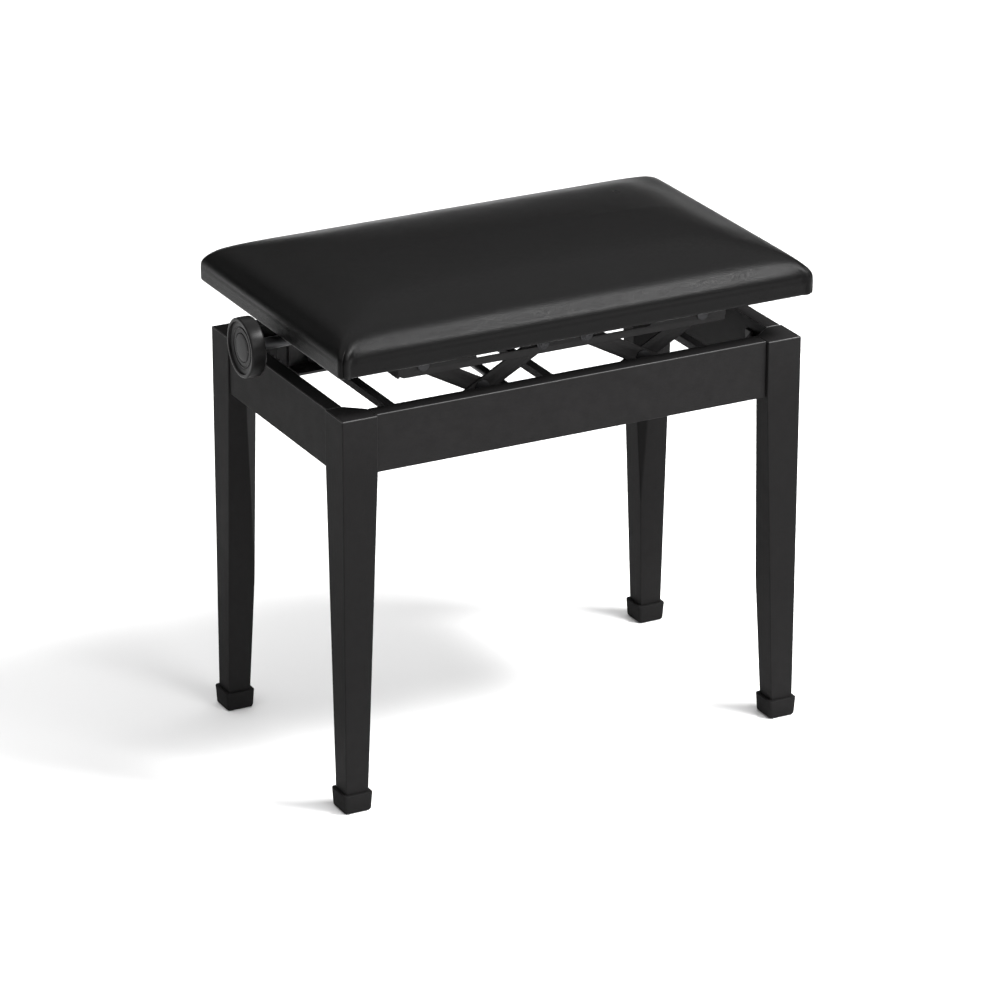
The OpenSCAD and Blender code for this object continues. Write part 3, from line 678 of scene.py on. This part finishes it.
def makeFootCap(node):
    # a moulded cap, slightly wider at its rim than at its toe
    low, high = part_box(node)
    shape = footShape
    centre = (low + high) / 2
    half = (high.x - low.x) / 2
    pocket = half - shape["wall"]
    rim = half + shape["spread"]
    rimR = shape["rimR"]
    r, toe = shape["cornerR"], shape["toeR"]
    sole = rim - shape["draft"]
    tall = high.z - low.z
    profile = [(0.0, 0.0), (sole * 0.55, 0.0)]
    profile += arc(sole - toe, toe, toe, -90, 0, 5)
    profile += [(rim, tall - rimR), (rim - rimR * 0.3, tall - rimR * 0.3), (rim - rimR, tall),
                (pocket + shape["lip"], tall), (pocket, tall - shape["lip"]),
                (pocket, shape["floor"]), (0.0, shape["floor"])]
    points = []
    for size, z in profile:
        corner = min(r, size * 0.8)
        for x, y in roundedSquare(max(size, 1e-7), max(corner, 1e-8), shape["cornerSteps"]):
            points.append((centre.x + x, centre.y + y, low.z + z))
    faces = tubeFaces(len(profile), 4 * (shape["cornerSteps"] + 1))
    mesh = cleanMesh(meshFrom(node, points, faces), 1e-5)
    smoothFaces(mesh, 50)
    return register(makeObject(camel(node), mesh, footRubber), [node])


for side in ("left", "right"):
    for face in ("front", "rear"):
        makeFootCap(f"foot_cap_{face}_{side}")
print("feet made")


steelEdges = {
    "rail": 0.0004, "arm": 0.00035, "bracket": 0.0005, "nut": 0.0008, "tie": 0.0003, "cornerNut": 0.0004,
    "collar": 0.0006, "pin": 0.0003,
}
for end in ("front", "rear"):
    softened(f"upper_rail_{end}", camel(f"upper_rail_{end}"), steelEdges["rail"])
    softened(f"lower_rail_{end}", camel(f"lower_rail_{end}"), steelEdges["rail"])
    for side in ("left", "right"):
        node = f"corner_bracket_{end}_{side}"
        softened(node, camel(node), steelEdges["bracket"])
        for layer in ("outer", "inner"):
            node = f"{side}_{layer}_arm_{end}"
            softened(node, camel(node), steelEdges["arm"])
for place in ("left", "middle", "right"):
    softened(f"tie_bar_{place}", camel(f"tie_bar_{place}"), steelEdges["tie"])
for side in ("left", "right"):
    softened(f"end_plate_{side}", camel(f"end_plate_{side}"), steelEdges["rail"])
    softened(f"{side}_nut", camel(f"{side}_nut"), steelEdges["nut"], 3)
softened("corner_nuts", "cornerNuts", steelEdges["cornerNut"])
softened("thrust_collars", "thrustCollars", steelEdges["collar"])
for node in ("lower_pivot_pins", "upper_pivot_pins", "left_centre_pins", "right_centre_pins",
             "left_lower_shaft", "right_lower_shaft", "left_upper_shafts", "right_upper_shafts",
             "left_shaft_clips", "right_shaft_clips"):
    softened(node, camel(node), steelEdges["pin"])
print("steel parts made")


knobShape = {
    "sides": 128, "hubR": 0.012, "hubH": 0.008, "hubBack": 0.0005, "hubEdge": 0.0008, "hubFillet": 0.0012,
    "backR": 0.0022, "frontR": 0.0016,
    "rim": 0.0024, "lip": 0.0009, "lipDepth": 0.0021, "dish": 0.0028, "dishSteps": 7, "ringAt": 0.66,
    "ringH": 0.0006, "ringFlat": 0.0004, "ringW": 0.0011, "crown": 0.00018, "crownHalf": 0.003,
}
discShape = {
    "pocketR": 0.0155, "deep": 0.0012, "r": 0.0148, "edge": 0.0006, "flatR": 0.009, "crown": 0.0008,
}


def toKnobAxis(mesh, faceX, axisZ):
    # lathes are drawn up Z from the face of the hub; this lays them along -X on the screw's axis
    turn = Matrix.Rotation(math.radians(-90), 4, "Y")
    mesh.transform(Matrix.Translation((faceX, 0, axisZ)) @ turn)
    return mesh


def makeKnob():
    low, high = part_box("knob")
    axisZ = (low.z + high.z) / 2
    r = (high.z - low.z) / 2
    face = high.x - low.x
    shape, disc = knobShape, discShape
    hubR, hubH, backR, frontR = (shape[key] for key in ("hubR", "hubH", "backR", "frontR"))
    # the hub, the rounded back, the slightly crowned grip and the rounded front
    back, edge, fillet = shape["hubBack"], shape["hubEdge"], shape["hubFillet"]
    outline = [(0.0, back), (hubR - edge, back), (hubR, back + edge)]
    outline += [(hubR, hubH - fillet), (hubR + fillet, hubH)]
    outline += arc(r - backR, hubH + backR, backR, -90, 0, 6)
    mid = (hubH + face) / 2
    grip = r + shape["crown"]
    outline += [(grip, mid - shape["crownHalf"]), (grip, mid + shape["crownHalf"])]
    outline += arc(r - frontR, face - frontR, frontR, 0, 90, 6)
    # the raised rim, the dish and the ring in it
    dishR = r - frontR - shape["rim"]
    lip, lipDepth = shape["lip"], shape["lipDepth"]
    outline += [(r - frontR - shape["rim"] * 0.6, face), (dishR + 0.0003, face - 0.0002)]
    outline += arc(dishR - 0.0006, face - lip, lip, 30, 0, 3)[1:]
    dishR -= 0.0004
    outline += [(dishR, face - lipDepth)]
    ring, ringW, ringFlat = r * shape["ringAt"], shape["ringW"], shape["ringFlat"]
    for i in range(1, shape["dishSteps"] + 1):
        t = i / shape["dishSteps"]
        deep = lipDepth + (shape["dish"] - lipDepth) * t * t
        outline.append((dishR - (dishR - ring - ringW) * t, face - deep))
    base = face - shape["dish"]
    seat = base - disc["deep"]
    outline += [(ring + ringFlat, base + shape["ringH"]), (ring - ringFlat, base + shape["ringH"]),
                (ring - ringW, base), (disc["pocketR"], base), (disc["pocketR"] - 0.0003, seat),
                (0.0, seat)]
    cap = [(0.0, seat), (disc["r"], seat)]
    cap += arc(disc["r"] - disc["edge"], base - 0.0002, disc["edge"], 0, 90, 3)
    cap += [(disc["flatR"], base + 0.0006), (0.0, base + disc["crown"])]
    for name, node, section in (("knobWheel", "knob", outline), ("knobDisc", "knob_cap", cap)):
        mesh = toKnobAxis(lathe(section, shape["sides"]), high.x, axisZ)
        smoothFaces(mesh, 40)
        register(makeObject(name, mesh, knobPlastic), [node])


makeKnob()
print("knob made")


threadShape = {
    "pitch": 0.003, "depth": 0.0010, "start": 0.009, "end": 0.112, "footShare": 0.62, "crestShare": 0.34,
    "sunk": 0.0002, "runOut": 0.002, "runIn": 0.001, "tip": 0.0008, "resolution": 28, "coreSides": 48,
}


def nodesTree(name, inputs):
    tree = bpy.data.node_groups.new(name, "GeometryNodeTree")
    tree.interface.new_socket("Geometry", in_out="INPUT", socket_type="NodeSocketGeometry")
    for label, kind in inputs:
        tree.interface.new_socket(label, in_out="INPUT", socket_type="NodeSocket" + kind)
    tree.interface.new_socket("Geometry", in_out="OUTPUT", socket_type="NodeSocketGeometry")
    return tree, tree.nodes.new("NodeGroupInput"), tree.nodes.new("NodeGroupOutput")


def runTree(piece, tree, values):
    # inputs are set by each socket's identifier before the object is first evaluated
    modifier = piece.modifiers.new("maker", "NODES")
    modifier.node_group = tree
    sockets = [item for item in tree.interface.items_tree if item.in_out == "INPUT"]
    identifiers = {item.name: item.identifier for item in sockets}
    for label, value in values.items():
        modifier[identifiers[label]] = value
    return settle(piece)


def closeTree(tree, geometry, given, made):
    # real faces with the finish on them, as the export drops instances
    real = addNode(tree, "GeometryNodeRealizeInstances", {"Geometry": geometry})
    paint = addNode(tree, "GeometryNodeSetMaterial", {
        "Geometry": real.outputs[0], "Material": given.outputs["Finish"]})
    tree.links.new(paint.outputs[0], made.inputs[0])
    return tree


def buildThreadTree():
    # a ridge swept along a spiral; it runs from 0 along +X
    tree, given, made = nodesTree("threadMaker", [
        ("Radius", "Float"), ("Depth", "Float"), ("Pitch", "Float"), ("Length", "Float"),
        ("Left Hand", "Bool"), ("Finish", "Material")])
    sizes = given.outputs
    ride = mathNode(tree, "SUBTRACT", sizes["Radius"], sizes["Depth"])
    turns = mathNode(tree, "DIVIDE", sizes["Length"], sizes["Pitch"])
    spiral = addNode(tree, "GeometryNodeCurveSpiral", {
        "Resolution": threadShape["resolution"], "Rotations": turns, "Start Radius": ride,
        "End Radius": ride, "Height": sizes["Length"], "Reverse": sizes["Left Hand"]})
    ridge = addNode(tree, "GeometryNodeCurvePrimitiveQuadrilateral", {
        "Bottom Width": mathNode(tree, "MULTIPLY", sizes["Pitch"], threadShape["footShare"]),
        "Top Width": mathNode(tree, "MULTIPLY", sizes["Pitch"], threadShape["crestShare"]),
        "Height": mathNode(tree, "MULTIPLY", sizes["Depth"], 2.0), "Offset": 0.0}, mode="TRAPEZOID")
    sweep = addNode(tree, "GeometryNodeCurveToMesh", {
        "Curve": spiral.outputs[0], "Profile Curve": ridge.outputs[0], "Fill Caps": True})
    lay = addNode(tree, "GeometryNodeTransform", {
        "Geometry": sweep.outputs[0], "Rotation": (0, math.pi / 2, 0)})
    return closeTree(tree, lay.outputs[0], given, made)


def makeLeadScrew():
    low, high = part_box("lead_screw")
    axisZ = (low.z + high.z) / 2
    r = (high.z - low.z) / 2
    shape = threadShape
    core = r - 2 * shape["depth"] + shape["sunk"]
    start, end, tip = shape["start"], shape["end"], shape["tip"]
    # plain in the middle and at the ends, turned down to the core where the two threads are
    outline = [(0.0, low.x), (r - tip, low.x), (r, low.x + tip), (r, -end - shape["runOut"]), (core, -end)]
    outline += [(core, -start), (r, -start + shape["runIn"]), (r, start - shape["runIn"]), (core, start)]
    outline += [(core, end), (r, end + shape["runOut"]), (r, high.x - tip), (r - tip, high.x)]
    outline += [(0.0, high.x)]
    rod = lathe(outline, shape["coreSides"])
    rod.transform(Matrix.Translation((0, 0, axisZ)) @ Matrix.Rotation(math.radians(90), 4, "Y"))
    smoothFaces(rod, 35)
    register(makeObject("leadScrewRod", rod, screwSteel), ["lead_screw"])
    tree = buildThreadTree()
    for name, leftHand, begin in (("leftThread", True, -end), ("rightThread", False, start)):
        thread = makeObject(name, bpy.data.meshes.new("thread"), None)
        runTree(thread, tree, {
            "Radius": r, "Depth": shape["depth"], "Pitch": shape["pitch"], "Length": end - start,
            "Left Hand": leftHand, "Finish": screwSteel})
        thread.data.transform(Matrix.Translation((begin, 0, axisZ)))
        cleanMesh(thread.data, 1e-7)
        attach(thread, "screw")


makeLeadScrew()
print("lead screw made")


cushionShape = {
    "slack": 0.0006, "cornerR": 0.006, "hemR": 0.003, "wrap": 0.035, "floorGap": 0.00115, "edgeH": 0.034,
    "rollX": 0.026, "rollZ": 0.018, "crown": 0.0245, "crownPower": 2.2, "cornerSoftness": 2.6,
    "bulge": 0.0012, "bulgeAt": 0.007, "bulgeWidth": 0.007,
    "groove": 0.0007, "grooveAt": 0.0012, "grooveWidth": 0.0022, "cornerShare": 0.4,
    "crease": 0.0007, "creaseAt": 0.0300, "creaseWidth": 0.0042, "creaseReach": 0.02, "creaseDown": 0.8,
    "merge": 8e-5,
}
# how far along a side each spacing of the grid runs, counted from a corner
gridSpacing = ((0.009, 0.00045), (0.034, 0.0014), (0.07, 0.004))
inflation = {
    "voxel": 0.006, "pressure": 4.0, "frames": 20, "cap": 0.005, "held": 0.016,
    "readX": 91, "readY": 57, "fade": 0.03, "smoothing": 12,
}
pleat = {
    "fromEnd": 0.0030, "depth": 0.0028, "width": 0.0009, "fold": 0.0012, "foldAt": 0.0044,
    "foldWidth": 0.0036, "dent": 0.0010, "dentAt": 0.0115, "dentWidth": 0.0030, "reach": 0.0085,
    "lean": 0.0016, "leanFrom": 0.45, "freeWidth": 0.003, "startDrop": 0.004, "startReach": 0.006,
    "least": 0.15,
}


def cushionPlan(halfX, halfY):
    # [x, y, outward x, outward y] round the seat, close together where the pleats come
    r = cushionShape["cornerR"]
    starts = [0] + [spacing[0] for spacing in gridSpacing]
    fine = np.concatenate([np.arange(start, *spacing) for start, spacing in zip(starts, gridSpacing)])
    plan = []
    for signX, signY, start in ((1, -1, -90), (1, 1, 0), (-1, 1, 90), (-1, -1, 180)):
        centreX, centreY = signX * (halfX - r), signY * (halfY - r)
        for turn in np.linspace(math.radians(start), math.radians(start + 90), 15)[:-1]:
            outX, outY = math.cos(turn), math.sin(turn)
            plan.append((centreX + r * outX, centreY + r * outY, outX, outY))
        outX, outY = math.cos(math.radians(start + 90)), math.sin(math.radians(start + 90))
        length = 2 * ((halfY if abs(outX) > 0.5 else halfX) - r)
        coarse = np.linspace(fine[-1], length - fine[-1], int((length - 2 * fine[-1]) / 0.006) + 2)[1:-1]
        for along in np.concatenate([fine, coarse, length - fine[::-1]])[:-1]:
            plan.append((centreX + r * outX - outY * along, centreY + r * outY + outX * along, outX, outY))
    return np.array(plan)


def cushionRows(halfY):
    # [inset, height, part] up the section: part 0 is the underside, 1 the side and 2 the top
    shape = cushionShape
    hem = shape["hemR"]
    rows = [(halfY, shape["floorGap"], 0), (shape["wrap"], shape["floorGap"], 0),
            (shape["wrap"] - 0.0003, 0.0, 0), (0.024, 0.0, 0), (0.014, 0.0, 0)]
    for turn in np.linspace(0, math.pi / 2, 6):
        rows.append((hem - hem * math.sin(turn), hem - hem * math.cos(turn), 1))
    sideTop = shape["edgeH"] - shape["rollZ"]
    rows += [(0.0, height, 1) for height in np.linspace(hem, sideTop, 12)[1:]]
    for turn in np.linspace(0, math.pi / 2, 16)[1:]:
        rows.append((shape["rollX"] * (1 - math.cos(turn)), sideTop, 2))
    rows += [(shape["rollX"] + (halfY - shape["rollX"]) * t, sideTop, 2) for t in np.linspace(0, 1, 30)[1:]]
    return rows


def edgeDistance(x, y, halfX, halfY):
    # distance from the nearest edge, blended across the corners so that no mitre shows
    power = cushionShape["cornerSoftness"]
    fromX = np.maximum(halfX - np.abs(x), 1e-6)
    fromY = np.maximum(halfY - np.abs(y), 1e-6)
    return (fromX ** -power + fromY ** -power) ** (-1 / power)


def cushionGrid(under, halfX, halfY):
    shape = cushionShape
    plan = cushionPlan(halfX, halfY)
    rows = cushionRows(halfY)
    spineX = np.clip(plan[:, 0], -(halfX - halfY), halfX - halfY)
    atEdge = edgeDistance(plan[:, 0], plan[:, 1], halfX, halfY)
    grid = np.zeros((len(rows), len(plan), 3))
    for j, (inset, height, part) in enumerate(rows):
        share = min(1.0, inset / halfY)
        x = plan[:, 0] + (spineX - plan[:, 0]) * share
        y = plan[:, 1] * (1 - share)
        z = np.full(len(plan), under + height)
        if part == 2:
            away = edgeDistance(x, y, halfX, halfY) - atEdge * max(0.0, 1 - inset / shape["rollX"])
            rolled = np.clip(away / shape["rollX"], 0, 1)
            crowned = np.clip(away / halfY, 0, 1)
            z += shape["rollZ"] * np.sqrt(1 - (1 - rolled) ** 2)
            z += shape["crown"] * (1 - (1 - crowned) ** shape["crownPower"])
        grid[j] = np.stack([x, y, z], axis=1)
    return grid, plan, rows


def gridMesh(name, grid):
    return meshFrom(name, grid.reshape(-1, 3), tubeFaces(*grid.shape[:2]))


def inflate(grid, under):
    # blows up a remeshed copy as cloth; the band over the board stays still
    cloth = makeObject("cushionCloth", cleanMesh(gridMesh("cushionCloth", grid), 2e-5), None)
    remesh = cloth.modifiers.new("even", "REMESH")
    remesh.mode = "VOXEL"
    remesh.voxel_size = inflation["voxel"]
    settle(cloth)
    held = cloth.vertex_groups.new(name="held")
    held.add([v.index for v in cloth.data.vertices if v.co.z < under + inflation["held"]], 1.0, "REPLACE")
    fabric = cloth.modifiers.new("fabric", "CLOTH")
    fabric.settings.use_pressure = True
    fabric.settings.uniform_pressure_force = inflation["pressure"]
    fabric.settings.effector_weights.gravity = 0
    fabric.settings.vertex_group_mass = "held"
    fabric.point_cache.frame_start = 1
    fabric.point_cache.frame_end = inflation["frames"]
    for frameNumber in range(1, inflation["frames"] + 1):
        bpy.context.scene.frame_set(frameNumber)
    settle(cloth)
    bpy.context.scene.frame_set(1)
    shape = bmesh.new()
    shape.from_mesh(cloth.data)
    surface = BVHTree.FromBMesh(shape)
    shape.free()
    bpy.data.objects.remove(cloth)
    return surface


def swell(grid, rows, surface, halfX, halfY):
    # lifts the top by what the cloth rose, read on an even grid, capped, faded at the edges and smoothed
    x = np.linspace(-halfX, halfX, inflation["readX"])
    y = np.linspace(-halfY, halfY, inflation["readY"])
    top = grid[-len(rows) // 2:].reshape(-1, 3)
    shape = KDTree(len(top))
    for index, point in enumerate(top):
        shape.insert((point[0], point[1], 0), index)
    shape.balance()
    rises = np.zeros((len(x), len(y)))
    for i, atX in enumerate(x):
        for k, atY in enumerate(y):
            hit = surface.ray_cast(Vector((atX, atY, 1)), Vector((0, 0, -1)))[0]
            if hit is not None:
                nearest = shape.find((atX, atY, 0))[1]
                rises[i, k] = hit.z - top[nearest, 2]
    fromEdge = edgeDistance(*np.meshgrid(x, y, indexing="ij"), halfX, halfY)
    rises = np.clip(rises, 0, inflation["cap"]) * np.clip(fromEdge / inflation["fade"], 0, 1)
    for _ in range(inflation["smoothing"]):
        padded = np.pad(rises, 1, mode="edge")
        rises = (padded[2:, 1:-1] + padded[:-2, 1:-1] + padded[1:-1, 2:] + padded[1:-1, :-2]) / 4
    rises *= np.clip(fromEdge / inflation["fade"], 0, 1)
    across = np.clip((grid[:, :, 0] + halfX) / (2 * halfX), 0, 0.9999) * (len(x) - 1)
    along = np.clip((grid[:, :, 1] + halfY) / (2 * halfY), 0, 0.9999) * (len(y) - 1)
    i, k = across.astype(int), along.astype(int)
    u, v = across - i, along - k
    lift = (rises[i, k] * (1 - u) * (1 - v) + rises[i + 1, k] * u * (1 - v)
            + rises[i, k + 1] * (1 - u) * v + rises[i + 1, k + 1] * u * v)
    onTop = np.array([[float(row[2] == 2)] for row in rows])
    grid[:, :, 2] += lift * onTop
    print(f"cushion swelled by {rises.max() * 1000:.1f} mm at most")
    return grid


def bell(x, width):
    return np.exp(-(x / width) ** 2)


def sew(grid, plan, rows, under, halfX, halfY):
    # full sides, a line along the board's top edge and a folded pleat at each end of the long sides
    shape = cushionShape
    out = np.concatenate([plan[:, 2:4], np.zeros((len(plan), 1))], axis=1)
    onLongSide = np.abs(plan[:, 3]) > 0.9
    onShortSide = np.abs(plan[:, 2]) > 0.5
    alongShare = np.where(onShortSide, np.abs(plan[:, 1]) / halfY, np.abs(plan[:, 0]) / halfX)
    between = 1 - np.clip(alongShare, 0, 1) ** 4
    fullness = shape["cornerShare"] + (1 - shape["cornerShare"]) * between
    fromEnd = halfX - np.abs(plan[:, 0]) - pleat["fromEnd"]
    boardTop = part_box("seat_board")[1].z - under
    for j, (inset, _, part) in enumerate(rows):
        if part == 0:
            continue
        rise = float(np.mean(grid[j, :, 2]) - under)
        fade = 1.0 if part == 1 else max(0.0, 1 - inset / pleat["reach"])
        if fade > 0:
            full = bell(rise - boardTop - shape["bulgeAt"], shape["bulgeWidth"]) * shape["bulge"]
            line = bell(rise - boardTop - shape["grooveAt"], shape["grooveWidth"]) * shape["groove"]
            grid[j] += out * ((full - line) * fullness)[:, None]
        crease = bell(rise - shape["creaseAt"], shape["creaseWidth"]) * shape["crease"]
        crease = crease * between * bell(inset, shape["creaseReach"])
        grid[j] -= (out + (0, 0, shape["creaseDown"])) * crease[:, None]
        if fade > 0:
            u = fromEnd - pleat["lean"] * max(0.0, rise / shape["edgeH"] - pleat["leanFrom"])
            move = -pleat["depth"] * bell(u, pleat["width"])
            move += pleat["fold"] * bell(u - pleat["foldAt"], pleat["foldWidth"]) * (u > 0)
            move -= pleat["dent"] * bell(u - pleat["dentAt"], pleat["dentWidth"])
            above = (rise - boardTop + pleat["startDrop"]) / pleat["startReach"]
            above = min(1.0, max(pleat["least"], above))
            move = np.where(move < 0, move * np.where(u < pleat["freeWidth"], 1.0, above), move)
            grid[j] += out * (move * fade * onLongSide)[:, None]
    return grid


def makeCushion():
    low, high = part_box("seat_cover")
    halfX, halfY = high.x + cushionShape["slack"], high.y + cushionShape["slack"]
    grid, plan, rows = cushionGrid(low.z, halfX, halfY)
    grid = swell(grid, rows, inflate(grid, low.z), halfX, halfY)
    grid = sew(grid, plan, rows, low.z, halfX, halfY)
    mesh = cleanMesh(gridMesh("seatCushion", grid), cushionShape["merge"])
    smoothFaces(mesh)
    piece = register(makeObject("seatCushion", mesh, blackVinyl), ["seat_cover", "seat_foam"])


makeCushion()
print("cushion made")


def solidsOf(node):
    # centre and half size of every separate solid in a CAD node
    shape = bmesh.new()
    shape.from_mesh(frame["nodes"][node].data)
    bmesh.ops.remove_doubles(shape, verts=shape.verts, dist=1e-6)
    shape.verts.ensure_lookup_table()
    left, found = set(range(len(shape.verts))), []
    while left:
        stack, spots = [left.pop()], []
        while stack:
            vertex = shape.verts[stack.pop()]
            spots.append(vertex.co.copy())
            for edge in vertex.link_edges:
                other = edge.other_vert(vertex).index
                if other in left:
                    left.remove(other)
                    stack.append(other)
        low = Vector([min(p[k] for p in spots) for k in range(3)])
        high = Vector([max(p[k] for p in spots) for k in range(3)])
        found.append(((low + high) / 2, (high - low) / 2))
    shape.free()
    return sorted(found, key=lambda solid: tuple(round(v, 5) for v in solid[0]))


def floatOutput(node):
    return next(socket for socket in node.outputs if socket.enabled and socket.type == "VALUE")


def buildScatterTree():
    # one copy of Pattern on every point, laid by the point's turn and spun about its own Z by chance
    tree, given, made = nodesTree("scatterMaker", [
        ("Pattern", "Object"), ("Spin", "Float"), ("Seed", "Int"), ("Finish", "Material")])
    pattern = addNode(tree, "GeometryNodeObjectInfo", {"Object": given.outputs["Pattern"]})
    laid = addNode(tree, "GeometryNodeInputNamedAttribute", {"Name": "turn"}, data_type="FLOAT_VECTOR")
    chance = addNode(tree, "FunctionNodeRandomValue", {
        "Min": 0.0, "Max": given.outputs["Spin"], "Seed": given.outputs["Seed"]}, data_type="FLOAT")
    spin = addNode(tree, "ShaderNodeCombineXYZ", {"Z": floatOutput(chance)})
    copies = addNode(tree, "GeometryNodeInstanceOnPoints", {
        "Points": given.outputs["Geometry"], "Instance": pattern.outputs["Geometry"]})
    tree.links.new(laid.outputs["Attribute"], copies.inputs["Rotation"])
    spun = addNode(tree, "GeometryNodeRotateInstances", {
        "Instances": copies.outputs[0], "Local Space": True})
    tree.links.new(spin.outputs[0], spun.inputs["Rotation"])
    return closeTree(tree, spun.outputs[0], given, made)


scatterTree = buildScatterTree()


def scatter(name, node, pattern, places, finish, spin=0.0, seed=1):
    # places are [position, turn] pairs
    mesh = meshFrom(name, [place for place, turn in places], [])
    turns = mesh.attributes.new("turn", "FLOAT_VECTOR", "POINT")
    turns.data.foreach_set("vector", [value for place, turn in places for value in turn])
    piece = makeObject(name, mesh, None)
    runTree(piece, scatterTree, {"Pattern": pattern, "Spin": spin, "Seed": seed, "Finish": finish})
    bpy.data.objects.remove(pattern)
    smoothFaces(piece.data, 40)
    return register(piece, [node])


screwShape = {
    "sides": 48, "headH": 0.0026, "domeShare": 0.55, "lip": 0.0003, "point": 0.002, "slotLong": 0.56,
    "slotWide": 0.13, "slotDeep": 0.0011,
}
domeRings = (0.97, 0.9, 0.82, 0.74, 0.68, 0.62, 0.56, 0.5, 0.42, 0.34, 0.26, 0.2, 0.14, 0.07)


def screwPattern(headR, headH, shankR, length):
    # pan head at the origin facing +Z, cross recess on top, shank down -Z
    shape = screwShape
    rim = headH * (1 - shape["domeShare"])
    outline = [(0.0, -length), (shankR * 0.3, -length + 0.0002), (shankR, -length + shape["point"]),
               (shankR, 0.0), (headR - shape["lip"], 0.0), (headR, shape["lip"]), (headR, rim)]
    for t in domeRings:
        outline.append((headR * t, rim + (headH - rim) * math.sqrt(1 - t * t)))
    outline.append((0.0, headH))
    mesh = lathe(outline, shape["sides"])
    for vertex in mesh.vertices:
        if vertex.co.z > rim + 1e-5:
            x, y = abs(vertex.co.x) / headR, abs(vertex.co.y) / headR
            if max(x, y) < shape["slotLong"] and min(x, y) < shape["slotWide"]:
                vertex.co.z -= min(shape["slotDeep"], headH * 0.6)
    return makeObject("screwPattern", mesh, None)


def makeRailScrews():
    lower, upper = solidsOf("lower_rail_screws"), solidsOf("upper_rail_screws")
    size = lower[0][1]
    headR, headH = size.x, min(screwShape["headH"], size.x)
    places = []
    for centre, half in lower:
        inward = -1 if centre.y > 0 else 1
        seatY = centre.y + inward * (half.y - headH)
        places.append(((centre.x, seatY, centre.z), (math.radians(-90 * inward), 0, 0)))
    pattern = screwPattern(headR, headH, headR * 0.5, 2 * size.y - headH)
    scatter("lowerRailScrews", "lower_rail_screws", pattern, places, screwSteel, math.tau, 3)
    size = upper[0][1]
    places = [((centre.x, centre.y, centre.z - half.z + headH), (math.pi, 0, 0)) for centre, half in upper]
    pattern = screwPattern(size.x, headH, size.x * 0.5, 2 * size.z - headH)
    scatter("upperRailScrews", "upper_rail_screws", pattern, places, screwSteel, math.tau, 5)


stapleShape = {"bend": 0.0009, "sides": 10, "bendSteps": 5}


def staplePattern(width, wire, leg):
    # round wire bent into a staple: crown along X at the bottom, legs up Z
    r, half = wire / 2, width / 2 - wire / 2
    bend = stapleShape["bend"]
    path = [(-half, leg), (-half, bend + r)]
    path += arc(-half + bend, r + bend, bend, 180, 270, stapleShape["bendSteps"])[1:]
    path += arc(half - bend, r + bend, bend, 270, 360, stapleShape["bendSteps"])
    path += [(half, leg)]
    points, sides = [], stapleShape["sides"]
    for i, (x, z) in enumerate(path):
        before, after = path[max(0, i - 1)], path[min(len(path) - 1, i + 1)]
        ahead = Vector((after[0] - before[0], 0, after[1] - before[1])).normalized()
        across = Vector((ahead.z, 0, -ahead.x))
        for k in range(sides):
            turn = math.tau * k / sides
            out = across * (r * math.cos(turn)) + Vector((0, r * math.sin(turn), 0))
            points.append(Vector((x, 0, z)) + out)
    faces = tubeFaces(len(path), sides)
    faces += [tuple(range(sides)), tuple(range(len(points) - sides, len(points)))]
    return makeObject("staplePattern", cleanMesh(meshFrom("staple", points, faces)), None)


def makeStaples():
    solids = solidsOf("cover_staples")
    places = []
    for centre, half in solids:
        turned = 0 if half.x > half.y else math.pi / 2
        places.append(((centre.x, centre.y, centre.z - half.z), (0, 0, turned)))
    size = solids[0][1]
    pattern = staplePattern(2 * max(size.x, size.y), 2 * min(size.x, size.y), 2 * size.z)
    scatter("coverStaples", "cover_staples", pattern, places, darkZinc)
    print(len(solids), "staples")


makeRailScrews()
makeStaples()
softened("corner_bolts", "cornerBolts", steelEdges["pin"])
softened("bearing_bushes", "bearingBushes", steelEdges["pin"])
print("fasteners made")
